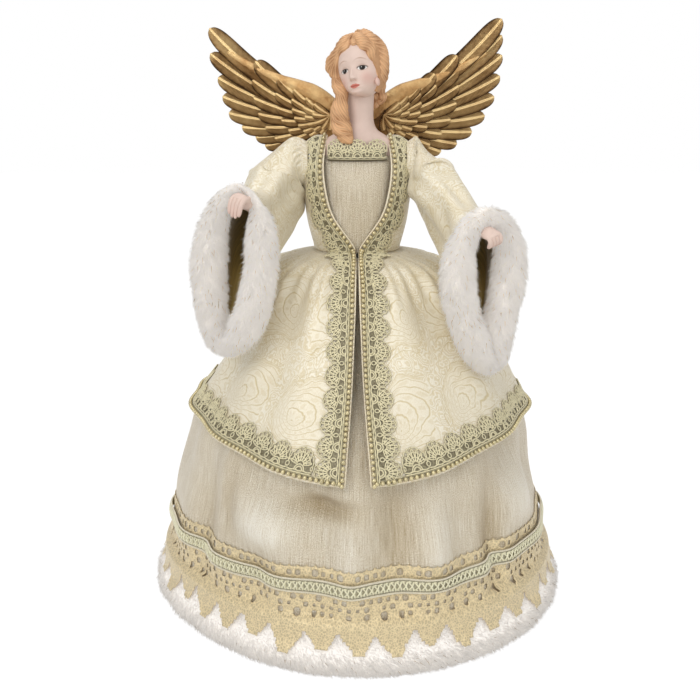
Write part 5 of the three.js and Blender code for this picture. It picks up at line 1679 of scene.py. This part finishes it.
class ANGEL_OT_cuffs(bpy.types.Operator):
    """Makes the fur round the cuffs"""

    bl_idname = "angel.cuffs"
    bl_label = "Fur Cuffs"

    def execute(self, context):
        looks, pile = finishes(context.scene), context.scene.angel_trims.pile / MM
        for seed, (name, sign) in enumerate(SIDES):
            arm = Arm(context.scene, name, sign)

            def place(turn, roll, arm=arm, seed=seed):
                """A leaf-shaped ring round the opening, thinner over the hand and at its foot."""
                turn, roll = np.broadcast_arrays(turn, roll)
                radius, middle, outward = arm.cuff(turn)
                lumps = 0.5 * np.sin(5 * turn + seed) + 0.3 * np.sin(11 * turn + 3 * roll)
                thick = np.maximum(radius - 1.8, 1.6) + lumps
                spot = middle + outward * (thick * np.cos(roll))[..., None]
                return arm.spot(thick * np.sin(roll), spot[..., 0], spot[..., 1])

            def hairy(u, v, place=place, sign=sign):
                return place(-sign * TURN * u, TURN * v)

            def trimmed(points, arm=arm, crest=arm.spot(0.0, arm.half_height + arm.roll, 0.0)):
                """Share of the pile's length: less near the crest over the hand."""
                return mix(arm.crest_pile, 1.0, blend_in(12, 28, np.linalg.norm(points - crest, axis=-1)))

            surface = Surface()
            turn = np.linspace(0, TURN, 121)[:, None]
            surface.add(place(sign * turn, turns(40)[None, :]), wrap=True, value=0.4, slot=0)
            furred(surface, hairy, 42000, pile, self.comb, 11 + seed, trimmed)
            piece = surface.build(f"fur_cuff_{name}_pile", f"{name}_arm",
                                  [looks["hide"], looks["fur"], looks["fleck"]], [f"fur_cuff_{name}"], "fur")
            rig.padded(piece, fill=0.7)
        return {"FINISHED"}

    def comb(self, points):
        """Down."""
        return np.broadcast_to([0.0, 0.0, -1.0], points.shape)


class ANGEL_OT_hands(bpy.types.Operator):
    """Makes the cast hands and the wires that carry them"""

    bl_idname = "angel.hands"
    bl_label = "Hands"

    def execute(self, context):
        looks, tones = finishes(context.scene), context.scene.angel_colours
        for name, sign in SIDES:
            arm = Arm(context.scene, name, sign)
            surface = Surface()
            self.palm(surface, arm, tones)
            for stations in self.digits(sign):
                self.digit(surface, arm, tones, stations)
            surface.build(f"hand_{name}_cast", f"{name}_arm", [looks["bisque"]], [f"hand_{name}"], "bisque")
            end = arm.spot(arm.hand_ahead - 20, arm.hand_rise + arm.wrist[0] + 1, 0)
            run = smooth_rows(np.array([arm.path(0.0), arm.path(0.3), arm.path(0.55), end]), 40)
            wire = Surface().add(tubes(run, np.broadcast_to([0, -1.0, 0], run.shape), 1.25, 12), wrap=True)
            wire.build(
                f"arm_wire_{name}_steel", f"{name}_arm", [looks["steel"]], [f"arm_wire_{name}"], "steel")
        return {"FINISHED"}

    def placed(self, arm, ahead, up, along, aside):
        """A place of the hand, which stands aside beyond the wrist. along is the distance past the wrist."""
        shift = arm.hand_aside * blend_in(-9, 7, along)
        return arm.spot(arm.hand_ahead + ahead, arm.hand_rise + up, shift + aside)

    def palm(self, surface, arm, tones):
        """Oval rings from the wrist to the knuckles: along, up, half-width and half-thickness."""
        heights = arm.wrist
        stations = np.array([(-22, heights[0], 4, 3.6), (-12, heights[1], 4.2, 3.8), (-4, heights[2], 4, 3.7),
                             (5, heights[3], 5, 3.8), (11, -0.7, 5.4, 3), (15, -2, 4.6, 2.2)])
        along, up, wide, thick = smooth_rows(stations, 30).T[..., None]
        turn = turns(28)
        lift = thick * np.sin(turn)
        rings = self.placed(arm, along + 0.35 * lift, up + lift, along, wide * np.cos(turn))
        ends = [ring.mean(1, keepdims=True) + 0 * ring for ring in (rings[:1], rings[-1:])]
        rings = np.concatenate([ends[0], rings, ends[1]])
        surface.add(rings if arm.sign > 0 else rings[::-1], wrap=True, tint=np.array(tones.skin))

    def digits(self, sign):
        """Stations (along, up, aside) of four fingers, which hang on the left and curl on the right, and of
        the thumb."""
        for k, aside in enumerate((-3.9, -1.3, 1.3, 3.9)):
            tip = -1.5 - (9 + 0.8 * k * (3 - k))
            end = [(16.4, -3.5, aside * 0.96), (16.5, tip, aside * 0.9)]
            hanging = [(9, -0.5, aside), (14, -0.8, aside), *end]
            curled = [(9, -0.5, aside), (13.5, -1, aside), (14.5, -4, aside), (11, -8, aside)]
            yield hanging if sign < 0 else curled
        yield [(4, -2, 3.5), (6.5, -4, 5), (8.5, -5.6, 5.6), (11, -8, 4.6)]

    def digit(self, surface, arm, tones, stations):
        """A finger: a round section along its stations, with a rounded and slightly pinker tip."""
        steps = 18
        along, up, aside = smooth_rows(np.array(stations, float), steps).T
        spine = self.placed(arm, along, up, along, aside)
        share = np.linspace(0, 1, steps)
        radius = 1.62 * np.sqrt(np.clip(1 - ((share - 0.55) / 0.47) ** 4 * (share > 0.55), 0.03, 1))
        tone = mix(np.array(tones.skin), np.array(tones.cheek), 0.25 * blend_in(0.6, 1, share)[:, None])
        tone = np.concatenate([tone[:1], tone, tone[-1:]])[:, None, :]
        facing = np.broadcast_to(arm.outward, spine.shape)
        surface.add(tubes(spine, facing, radius, 12), wrap=True, tint=tone)


# Head


def turned(points, scene):
    """Head points put in place: chin up, leaning and turned, then moved to the middle of the head."""
    tip, lean, turn = np.radians([-8, -12, -24])
    points = spin(points, (1, 0, 0), tip)
    points = spin(points, (0, 1, 0), lean)
    points = spin(points, (0, 0, 1), turn)
    return points + np.array([3, -4, Dress(scene).ridge + scene.angel_figure.head_rise / MM])


class ANGEL_OT_head(bpy.types.Operator):
    """Makes the head, its moulded hair, the neck and the shoulder plate"""

    bl_idname = "angel.head"
    bl_label = "Head"

    chin, crown = -22.6, 17.2
    half_width = staticmethod(through(
        (-22.6, 0.3), (-22, 4.4), (-20.2, 8), (-16.8, 11.4), (-11, 14.4), (-4, 16), (5, 15.6), (12, 12.4),
        (16, 6.5), (17.2, 0.3)))
    front = staticmethod(through(
        (-22.6, 10.5), (-22, 14.2), (-20.4, 15.8), (-17, 16.4), (-11.5, 17), (-5, 17.5), (3, 17.8), (9, 15.6),
        (14, 10.5), (17.2, 1)))
    back = staticmethod(through((-22.6, 0.5), (-17, 5), (-10, 12), (0, 16.5), (9, 15), (14, 10), (17.2, 1)))
    eye_out = 6.4
    lock_steps = 48

    def execute(self, context):
        self.face(context.scene)
        self.hair(context.scene)
        return {"FINISHED"}

    def shell(self, turn, z):
        """The head's outline: at each height an oval whose front and back depths differ."""
        deep = np.where(np.cos(turn) > 0, self.front(z), self.back(z))
        return oval(turn, self.half_width(z), deep, z)

    def relief(self, x, z):
        """Brow, eye hollows, lids, nose, lips, cheeks and chin, as bumps of the front of the face."""
        eye = np.abs(x) - self.eye_out
        lips = 1.1 * bell(x / 3.2) * (bell((z + 16.2) / 0.7) * 0.9 + bell((z + 17.8) / 0.8))
        nose_height = 3.9 * blend_in(-3, -11.2, z) * (1 - blend_in(-12.2, -13.8, z))
        nose = nose_height * bell(x / mix(1.3, 1.9, blend_in(-6, -12, z)))
        nostrils = 1.1 * bell((np.abs(x) - 1.9) / 1.0) * bell((z + 12.2) / 1.3)
        hollows = -1.7 * bell(eye / 3.6) * bell((z + 5.6) / 2.4)
        balls = 1.2 * bell(eye / 2.1) * bell((z + 6.2) / 1.5)
        lids = 0.45 * bell(eye / 2.8) * bell((z + 4.7 + 0.06 * eye * eye) / 0.45)
        brow = 0.6 * bell(eye / 3.8) * bell((z + 0.4) / 1.8)
        chin = 1.3 * bell(x / 4) * bell((z + 20.6) / 1.7)
        under_lip = -0.8 * bell(x / 3.5) * bell((z + 19.4) / 0.9)
        cheeks = 0.8 * bell((np.abs(x) - 7.5) / 3.5) * bell((z + 12) / 4)
        seam = -0.55 * bell(x / 3.0) * bell((z + 17) / 0.3)
        return nose + nostrils + lips + hollows + balls + lids + brow + chin + under_lip + cheeks + seam

    def paint(self, x, z, tones):
        """Skin with blush, lips, brows, and eyes with lids, white, dark iris and a small painted highlight, with
        painted shade under the chin, in the nostrils, beside the nose and in the lid creases.
        """
        skin, cheek, lips = [np.array(tone) for tone in (tones.skin, tones.cheek, tones.lips)]
        shade = np.broadcast_to(skin, x.shape + (3,))

        def over(base, tone, share):
            return mix(base, np.asarray(tone, float), np.clip(share, 0, 1)[..., None])

        blush = 0.5 * bell((np.abs(x) - 8.6) / 3.6) * bell((z + 12.6) / 4.2)
        # Blush on the cheeks, and the same tone under the chin as painted shade.
        shade = over(shade, cheek, blush + 0.25 * bell(x / 4) * bell((z + 23.5) / 3))
        # Painted shadow in the nostrils.
        nostrils = bell((np.abs(x) - 1.6) / 0.6) * bell((z + 13.4) / 0.5)
        shade = over(shade, cheek * 0.8, 0.6 * nostrils)
        top = -15.7 - 0.06 * x * x + 0.3 * bell((np.abs(x) - 1.0) / 0.6)
        low = -18.4 + 0.13 * x * x
        mouth = blend_in(-0.15, 0.15, top - z) * blend_in(-0.15, 0.15, z - low) * (np.abs(x) < 3.4)
        shade = over(shade, lips, 0.9 * mouth)
        parting = bell((z + 17 - 0.02 * x * x) / 0.18) * (np.abs(x) < 3.1)
        shade = over(shade, lips * 0.5, 0.7 * parting)
        # Painted shade on one side of the nose.
        shade = over(shade, skin * 0.72, 0.35 * bell((x + 2.4) / 0.9) * bell((z + 8.5) / 4))
        eye, height = np.abs(x) - self.eye_out, z + 6.0
        almond = 1 - np.square(eye / 2.9) - np.square(height / 1.5)
        shade = over(shade, (0.86, 0.82, 0.78), blend_in(-0.05, 0.1, almond))
        middle = np.sign(x) * self.eye_out
        iris = np.hypot(x - middle - 0.1, height - 0.25)
        shade = over(shade, (0.01, 0.006, 0.004), blend_in(2.0, 1.7, iris) * blend_in(-0.2, 0.05, almond))
        # A small painted highlight in each eye.
        shine = np.hypot(x - middle + 0.35, height - 0.65)
        shade = over(shade, (0.9, 0.9, 0.9), blend_in(0.3, 0.14, shine))
        lash = bell((np.sqrt(np.maximum(1 - almond, 1e-6)) - 1.04) / 0.2)
        shade = over(shade, (0.05, 0.025, 0.015), 0.95 * lash * blend_in(-0.4, 0.5, height))
        shade = over(shade, (0.30, 0.16, 0.1), 0.35 * lash * blend_in(0.2, -0.6, height))
        # Painted shade in the lid crease above each eye.
        crease = bell((height - 2.35 + 0.1 * eye * eye) / 0.3) * bell(eye / 2.6)
        shade = over(shade, (0.42, 0.24, 0.17), 0.5 * crease)
        brow = bell((height - 6.3 + 0.085 * np.square(eye + 0.6)) / 0.36) * bell((eye - 0.2) / 3.0)
        return over(shade, (0.33, 0.18, 0.1), 0.75 * brow)

    def face(self, scene):
        """The face, the neck and the shoulder plate of one casting, and an ear lobe. Columns are closer
        together in front, and rows at the chin and the crown. Stations of the neck are half-width,
        half-depth, the middle's x and y, and the height."""
        tones, dress = scene.angel_colours, Dress(scene)
        skin = np.array(tones.skin)
        even = np.linspace(-np.pi, np.pi, 220)
        turn = (even - 0.62 * np.sin(even))[None, :-1]
        z = mix(self.chin, self.crown, (1 - np.cos(np.linspace(0, np.pi, 190))) / 2)[:, None]
        z = mix(z, np.linspace(self.chin, self.crown, 190)[:, None], 0.6)
        turn, z = np.broadcast_arrays(turn, z)
        points = self.shell(turn, z)
        ahead = blend_in(0.15, 0.6, np.cos(turn))
        points = points + np.stack([0 * z, -self.relief(points[..., 0], z) * ahead, 0 * z], -1)
        tint = mix(skin, self.paint(points[..., 0], z, tones), ahead[..., None])
        surface = Surface().add(turned(points, scene), wrap=True, tint=tint)
        neck, ridge = scene.angel_figure.neck_radius / MM, dress.ridge
        stations = np.array([
            (33, 15.5, 0, 0, dress.neckline - 2), (32.5, 15.4, 0, 0, dress.neckline + 2),
            (27, 14.5, 0.5, -0.5, ridge - 5), (18, 12.5, 1, -1, ridge), (12, 11, 1.5, -1, ridge + 4),
            (neck, neck, 2, -1, ridge + 10), (neck - 0.4, neck - 0.2, 2.3, -1.6, ridge + 20),
            (neck, neck, 2.5, -2, ridge + 32)])
        wide, deep, x, y, height = smooth_rows(stations, 48).T[..., None]
        rings = oval(columns_round(90)[None, :], wide, deep, height)
        rings = rings + np.stack([x, y, 0 * x], -1)
        beside = np.abs(rings[..., 0])
        bones = 0.7 * bell((beside - 9) / 7) * bell((rings[..., 2] - ridge + 4 - 0.1 * beside) / 2.2)
        rings[..., 1] -= bones * (rings[..., 1] < 0)
        surface.add(rings, wrap=True, tint=skin)
        ear = rounded(np.array([12.7, -7.2, -15.4]), (1.5, 2.2, 2.8), 24, 16)
        surface.add(turned(ear, scene), wrap=True, tint=mix(skin, np.array(tones.cheek), 0.35))
        look = finishes(scene)["bisque"]
        surface.build("head_and_neck_bisque", "figure", [look], ["head_and_shoulders"], "bisque")

    def hair(self, scene):
        """Moulded hair: a close cap that dips under the skin below the hairline, waved locks swept from the
        parting to the back, and a long ringlet."""
        turn = np.linspace(-np.pi, np.pi, 200)[None, :-1]
        z = np.linspace(-20, self.crown, 90)[:, None]
        turn, z = np.broadcast_arrays(turn, z)
        line_turns = [-180, -92, -75, -60, -45, -25, 0, 20, 35, 45, 52, 66, 71, 80, 180]
        line_heights = [-30, -24, -9, -1, 4, 7, 9, 9.5, 7.5, 4, -5, -12.5, -16, -24, -30]
        line = np.interp(np.degrees(turn), line_turns, line_heights)
        cover = blend_in(-1, 3, z - line)
        points = self.shell(turn, z)
        normal = grid_normals(points, True)
        normal[-3:] = np.array([0, 0, 1.0])
        points = points + normal * mix(-2.5, 1.6, cover)[..., None]
        surface = Surface().add(turned(points, scene), wrap=True, value=0.32)
        for path, normals, radius in self.swept_locks():
            start = turned(path, scene)
            self.lock(surface, start, turned(path + normals, scene) - start, radius)
        for path, radius in self.long_locks():
            self.lock(surface, path, np.broadcast_to([0, -1.0, 0.0], path.shape), radius)
        surface.build("hair_moulded", "figure", [finishes(scene)["hair"]], ["head_and_shoulders"], "bisque")

    def lock(self, surface, path, normals, radius):
        """A tapering lock whose section has nine fine strands that wind slowly along it."""
        sides = 36
        share = np.linspace(0, 1, len(path))
        ripple = np.sin(4.4 * TURN * share + path[0, 2])
        thick = radius * np.sqrt(np.clip(np.sin(np.pi * (0.1 + 0.88 * share)), 0.02, 1)) * (1 + 0.13 * ripple)
        rings = tubes(path, normals, thick, sides)
        share = np.concatenate([share[:1], share, share[-1:]])[:, None]
        ripple = np.sin(4.4 * TURN * share + path[0, 2])
        groove = np.cos(9 * turns(sides) + 6 * share)
        centre = np.concatenate([path[:1], path, path[-1:]])[:, None, :]
        rings = centre + (rings - centre) * (1 + 0.06 * groove)[..., None]
        # Painted light: darker in the grooves between strands, on the side facing the head and in the hollows of the
        # waves, lighter on the outer crowns.
        tone = 0.3 + 0.28 * groove + 0.3 * np.cos(turns(sides)) + 0.26 * ripple
        surface.add(rings, wrap=True, value=np.clip(tone, 0, 1))

    def swept_locks(self):
        """Paths on the head from the parting to the nape, as directions in degrees and heights. The first
        lock of a side follows the hairline and the last one the crown, the others lie between them, and each
        waves up and down and in and out."""
        share = np.linspace(0, 1, self.lock_steps)
        stops = np.linspace(0, 1, 8)
        crown = np.array([[2, 20, 55, 95, 125, 150, 168, 178], [16.4, 17, 16.8, 15.5, 13, 9, 3, -4]])
        hairlines = {-1: [[4, 25, 48, 63, 74, 88, 110, 138], [10, 8.5, 4.5, -1, -7, -12, -17, -21]],
                     1: [[4, 22, 38, 48, 55, 74, 108, 140], [11, 11, 8.5, 4, -2.5, -9, -15, -21]]}
        locks = 12
        for sign, hairline in hairlines.items():
            for k in range(locks):
                line = mix(np.array(hairline, float), crown, k / (locks - 1))
                turn, rise = [through(*zip(stops, values))(share) for values in line]
                phase = TURN * (2.1 * share + 0.12 * k) + 1.2 * sign
                free = blend_in(0.05, 0.3, share)
                rise = rise + 1.4 * np.sin(phase) * free
                out = -0.7 + 1.5 * np.cos(phase) * free
                flat = 0.75 * blend_in(10, 110, turn) * (sign > 0)
                out = out + 2.6 * blend_in(9, 16, rise) * (1 - flat)
                if sign < 0:
                    out = out + 5.5 * bell((turn - 84) / 28) * bell((rise - 2) / 6)
                path = self.shell(sign * np.radians(turn), np.minimum(rise, 17))
                normals = unit(path)
                yield path + normals * out[:, None], normals, 3.1

    def long_locks(self):
        """Paths in the figure's frame: a ringlet of strands that wind round its middle, and the hair behind
        the neck."""
        share = np.linspace(0, 1, self.lock_steps)
        stations = np.array([
            (-14, -3, 373), (-12.5, -7, 364.5), (-10.6, -10.5, 357.5), (-12.1, -13, 349), (-11.4, -14.5, 340),
            (-10, -16, 334), (-7.5, -17.5, 329.5), (-5, -18.5, 326.5)], float)
        middle = smooth_rows(stations, self.lock_steps)
        wide = through(
            (0, 1.5), (0.14, 3.2), (0.29, 2.2), (0.43, 3.2), (0.57, 4.5), (0.71, 4.8), (0.86, 3.2), (1, 0.8))
        for k in range(8):
            phase = TURN * (k / 8 + 2.1 * share)
            offset = np.stack([np.cos(phase), 0.6 * np.sin(phase), 0.25 * np.sin(2 * phase + k)], -1)
            yield middle + offset * wide(share)[:, None], 2.5
        for k in range(8):
            x = -9 + 3.3 * k
            drop = 345 + 8 * blend_in(7, 15, x)
            stations = np.array([(x * 0.8 + 2, 11, 380), (x * 1.05 + 2, 14 - 0.02 * x * x, 366),
                                 (x + 2.5, 12.5 - 0.015 * x * x, 355), (x * 0.8 + 2, 10, drop)], float)
            path = smooth_rows(stations, self.lock_steps)
            path[:, 0] += 0.9 * np.sin(TURN * 1.7 * share + 0.9 * k)
            yield path, 3.3


# Wings


class ANGEL_OT_wings(bpy.types.Operator):
    """Makes the cast wings, feather by feather"""

    bl_idname = "angel.wings"
    bl_label = "Wings"

    back_face = 29.4
    spread = {"left": 1.0, "right": 1.25}
    stretch = {"left": 1.015, "right": 1.035}
    sag = {"left": through(
               (0, 0), (0.14, 0.02), (0.29, 0.06), (0.43, 0.03), (0.57, 0.03), (0.71, 0.06), (1, 0)),
           "right": through((0, 0.0), (0.5, -0.03), (1, 0))}
    rows = (
        dict(number=9, sag=1, start=0.1, reach=(1, 0.47), half_width=(7.0, 5.8), forward=0.0, tone=0.56),
        dict(number=7, start=0.06, reach=(0.62, 0.38), half_width=(6.4, 5.1), forward=1.6, tone=0.48),
        dict(number=6, start=0.04, reach=(0.43, 0.28), half_width=(5.4, 4.5), forward=2.9, tone=0.46),
        dict(number=7, start=0.02, reach=(0.3, 0.2), half_width=(3.9, 3.2), forward=4.1, tone=0.58, fan=1.15),
        dict(number=6, start=0.01, reach=(0.2, 0.14), half_width=(3.4, 2.9), forward=5.2, tone=0.62, fan=1.4),
        dict(number=5, start=0.0, reach=(0.13, 0.1), half_width=(3.2, 2.8), forward=6.0, tone=0.56, fan=1.8),
    )
    width_share = staticmethod(through(
        (0, 0.45), (0.35, 0.88), (0.7, 1), (0.86, 0.94), (0.94, 0.74), (0.985, 0.4), (1, 0.05)))
    face_places = [1, 0.93, 0.82, 0.62, 0.4, 0.22, 0.1, 0, -0.1, -0.22, -0.4, -0.62, -0.82, -0.93, -1]
    back_places = [-0.85, -0.5, -0.2, 0.2, 0.5, 0.85]

    def execute(self, context):
        scene = context.scene
        dress = Dress(scene)
        for name, sign in SIDES:
            surface = Surface()
            root = np.array([sign * 19.0, self.back_face + 3, dress.ridge + 12])
            for row in self.rows:
                for k in range(row["number"]):
                    self.feather(surface, scene, name, sign, root, row, k)
            self.root_plate(surface, sign, root, dress)
            look = finishes(scene)["gilt"]
            surface.build(f"wing_{name}_gilt", "figure", [look], [f"wing_{name}"], "gilt_casting")
        return {"FINISHED"}

    def feather(self, surface, scene, name, sign, root, row, k):
        """A bent blade: along the spine it widens and rounds off, and across it the face is domed, with two
        fine ridges on the shaft. The map gives the distance from the shaft and along it, for the barbs."""
        figure = scene.angel_figure
        span = figure.wing_length / MM
        share = k / (row["number"] - 1)
        spread = share ** self.spread[name] * row.get("fan", 1.0)
        lead = getattr(figure, f"{name}_wing_top") - spread * getattr(figure, f"{name}_wing_fan")
        reach = mix(*row["reach"], share) - row.get("sag", 0.0) * self.sag[name](share)
        size = span * self.stretch[name] * reach

        def spot(distance, turn):
            out = distance * math.cos(turn)
            back = out * math.tan(math.radians(10)) - row["forward"]
            return root + np.array([sign * out, back, distance * math.sin(turn)])

        base = spot(span * row["start"], lead - math.radians(25))
        bend = spot(0.6 * size, lead - math.radians(9))
        tip = spot(size, lead)
        t = np.linspace(0, 1, 64)[:, None]
        spine = (1 - t) ** 2 * base + 2 * t * (1 - t) * bend + t * t * tip
        along = unit(2 * (1 - t) * (bend - base) + 2 * t * (tip - bend))
        twist = sign * math.radians(9)
        across = unit(np.stack([-along[:, 2], 0 * along[:, 0], along[:, 0]], -1)) * math.cos(twist)
        across[:, 1] = math.sin(twist)
        half = mix(*row["half_width"], share) * self.width_share(t[:, 0])
        ring = np.concatenate([np.arccos(self.face_places), TURN - np.arccos(self.back_places), [TURN]])
        s = np.cos(ring)[None, :]
        rim = np.minimum(np.abs(np.sin(ring)) * 2, 1)[None, :]
        shaft = (bell((s - 0.1) / 0.06) + bell((s + 0.1) / 0.06)) * rim
        lift = np.sqrt(np.abs(np.sin(ring)))[None, :] * mix(1.1, 0.7, t) + 0.6 * shaft * (1 - 0.5 * t)
        points = spine[:, None, :] + across[:, None, :] * (half[:, None] * s)[..., None]
        points[..., 1] -= np.sign(np.sin(ring))[None, :] * lift
        # Painted shadow along the feather edges where they overlap, and a painted highlight at the tips; the shaft is
        # lighter and the root darker.
        overlap_shade = 0.46 * blend_in(0.7, 0.95, np.abs(s))
        shade = row["tone"] + 0.6 * shaft - overlap_shade + 0.25 * blend_in(0.92, 1, t)
        shade = np.clip(shade - 0.2 * (1 - blend_in(0.05, 0.5, t)), 0, 1)
        uv = np.stack(np.broadcast_arrays(half[:, None] * s, t * size), -1)
        if sign > 0:
            points, shade, uv = points[:, ::-1], shade[:, ::-1], uv[:, ::-1]
        surface.add(points[:, :-1], uv, wrap=True, value=shade[:, :-1])

    def root_plate(self, surface, sign, root, dress):
        """The boss at the wing's root, the rounded leading edge and the plate that is screwed to the back."""
        surface.add(rounded(root - np.array([0, 0, 4]), (10, 5, 15), 40, 24), wrap=True, value=0.36)
        edge = np.array([(-6, 0, -4), (-1, 0, 5), (9, 1.2, 13), (23, 3.6, 19.5), (40, 6.6, 26), (58, 10, 34),
                         (74, 13, 43.5)])
        edge = root + smooth_rows(edge * np.array([sign, 1, 1]), 60)
        thick = np.interp(np.arange(60), [0, 12, 24, 36, 59], [3.6, 6.2, 6.2, 3.6, 1.8])
        ring = tubes(edge, np.broadcast_to([0, -1.0, 0], edge.shape), thick, 20)
        surface.add(ring, wrap=True, value=0.58)
        height, half_width, below = 52.0, 6.5, 40.0
        middle = np.array([sign * 12.5, self.back_face + 2, dress.ridge - below + height / 2])
        circle = np.stack([np.cos(turns(48)), np.sin(turns(48))])
        x, z = np.sign(circle) * np.abs(circle) ** 0.35
        depth, share = np.array([(-2, 0), (-2, 0.93), (-1.6, 1), (1.6, 1), (2, 0.93), (2, 0)]).T[..., None]
        plate = middle + np.stack([share * half_width * x, depth + 0 * x, share * height / 2 * z], -1)
        surface.add(plate[::-1], wrap=True, value=0.4)


# Stage


class ANGEL_OT_stage(bpy.types.Operator):
    """Makes the floor, the lights and the camera"""

    bl_idname = "angel.stage"
    bl_label = "Stage"

    def execute(self, context):
        scene = context.scene
        scene.view_settings.view_transform = "Standard"
        self.floor(scene)
        self.world(scene)
        self.lamp(scene, "key_panel", (-0.75, -1.3, 1.25), 1.1, 12.2)
        self.lamp(scene, "fill_panel", (1.1, -1.1, 0.9), 1.2, 4.6)
        self.lamp(scene, "top_panel", (0.0, 0.2, 1.7), 1.4, 7.4)
        camera = bpy.data.objects.new("photo_camera", bpy.data.cameras.new("photo_camera"))
        scene.collection.objects.link(camera)
        back, height, target_height = 0.7, 0.375, 0.176
        camera.location = (-0.005, -back, height)
        camera.rotation_euler = (math.pi / 2 - math.atan2(height - target_height, back), 0, 0)
        sensor, focal_share = 36, 990 / 700
        camera.data.sensor_width = sensor
        camera.data.lens = focal_share * sensor
        camera.data.clip_start = 0.01
        scene.camera = camera
        return {"FINISHED"}

    def floor(self, scene):
        """A wide pale floor that shows white to the camera and keeps a soft shadow."""
        mesh = bpy.data.meshes.new("floor")
        mesh.from_pydata([(-3, -3, 0), (3, -3, 0), (3, 3, 0), (-3, 3, 0)], [], [(0, 1, 2, 3)])
        floor = bpy.data.objects.new("floor", mesh)
        scene.collection.objects.link(floor)
        look = Finish("pale_floor", Base_Color=(0.9, 0.9, 0.9), Roughness=0.9, Specular_IOR_Level=0.0)
        glow = look.node("ShaderNodeEmission", {"Color": (1, 1, 1), "Strength": 1.1})
        rays = look.node("ShaderNodeLightPath")
        seen = look.math("MAXIMUM", rays.outputs["Is Camera Ray"], rays.outputs["Is Glossy Ray"])
        seen = look.math("MAXIMUM", seen, rays.outputs["Is Transmission Ray"])
        shaders = {0: seen * 0.88, 1: look.shader.outputs[0], 2: glow.outputs[0]}
        both = look.node("ShaderNodeMixShader", shaders)
        look.tree.links.new(both.outputs[0], look.tree.nodes["Material Output"].inputs["Surface"])
        mesh.materials.append(look.material)
        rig.stage(floor)

    def world(self, scene):
        """Even pale light, which the camera and reflections see as white."""
        world = bpy.data.worlds.new("studio")
        scene.world = world
        world.use_nodes = True
        nodes, links = world.node_tree.nodes, world.node_tree.links
        light = nodes["Background"]
        light.inputs["Color"].default_value = (1, 1, 1, 1)
        light.inputs["Strength"].default_value = 0.55
        white = nodes.new("ShaderNodeBackground")
        white.inputs["Color"].default_value = (1, 1, 1, 1)
        white.inputs["Strength"].default_value = 1.0
        rays = nodes.new("ShaderNodeLightPath")
        either = nodes.new("ShaderNodeMath")
        either.operation = "MAXIMUM"
        links.new(rays.outputs["Is Camera Ray"], either.inputs[0])
        links.new(rays.outputs["Is Transmission Ray"], either.inputs[1])
        both = nodes.new("ShaderNodeMixShader")
        links.new(either.outputs[0], both.inputs[0])
        links.new(light.outputs[0], both.inputs[1])
        links.new(white.outputs[0], both.inputs[2])
        links.new(both.outputs[0], nodes["World Output"].inputs["Surface"])

    def lamp(self, scene, name, place, size, power):
        """A soft panel that looks at the figure."""
        lamp = bpy.data.objects.new(name, bpy.data.lights.new(name, "AREA"))
        scene.collection.objects.link(lamp)
        lamp.data.size = size
        lamp.data.energy = power
        lamp.location = place
        aim = np.array([0, 0, 0.2]) - np.array(place)
        tilt = math.atan2(aim[2], math.hypot(aim[0], aim[1]))
        turn = math.atan2(aim[1], aim[0])
        lamp.rotation_euler = (math.pi / 2 + tilt, 0, turn - math.pi / 2)


class ANGEL_PT_panel(bpy.types.Panel):
    """Lists the steps of the dress"""

    bl_idname = "ANGEL_PT_panel"
    bl_label = "Angel Tree Topper"
    bl_space_type = "VIEW_3D"
    bl_region_type = "UI"
    bl_category = "Angel"

    def draw(self, context):
        for step in STEPS:
            self.layout.operator(step.bl_idname)


STEPS = (
    ANGEL_OT_stage, ANGEL_OT_inner_frame, ANGEL_OT_gown, ANGEL_OT_hem_trims, ANGEL_OT_fur_hem, ANGEL_OT_coat,
    ANGEL_OT_neckline, ANGEL_OT_sleeves, ANGEL_OT_cuffs, ANGEL_OT_hands, ANGEL_OT_head, ANGEL_OT_wings)
GROUPS = {
    "angel_dress": DressSizes,
    "angel_trims": TrimSizes,
    "angel_figure": FigureSizes,
    "angel_colours": Colours,
}


def register():
    """Registers the settings, the operators and the panel."""
    for name, group in GROUPS.items():
        bpy.utils.register_class(group)
        setattr(bpy.types.Scene, name, PointerProperty(type=group))
    for step in (*STEPS, ANGEL_PT_panel):
        bpy.utils.register_class(step)


def unregister():
    """Takes them out again."""
    for step in (*STEPS, ANGEL_PT_panel):
        bpy.utils.unregister_class(step)
    for name, group in GROUPS.items():
        delattr(bpy.types.Scene, name)
        bpy.utils.unregister_class(group)


def main():
    """Runs every step in order and keeps the size of the result."""
    register()
    for step in STEPS:
        family, name = step.bl_idname.split(".")
        getattr(getattr(bpy.ops, family), name)()
    plain = [[list(map(float, corner)) for corner in box] for box in (FRAME_BOX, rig.bounds())]
    with open("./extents.json", "w") as file:
        json.dump({"frame": plain[0], "dressed": plain[1]}, file)


if __name__ == "__main__":
    main()
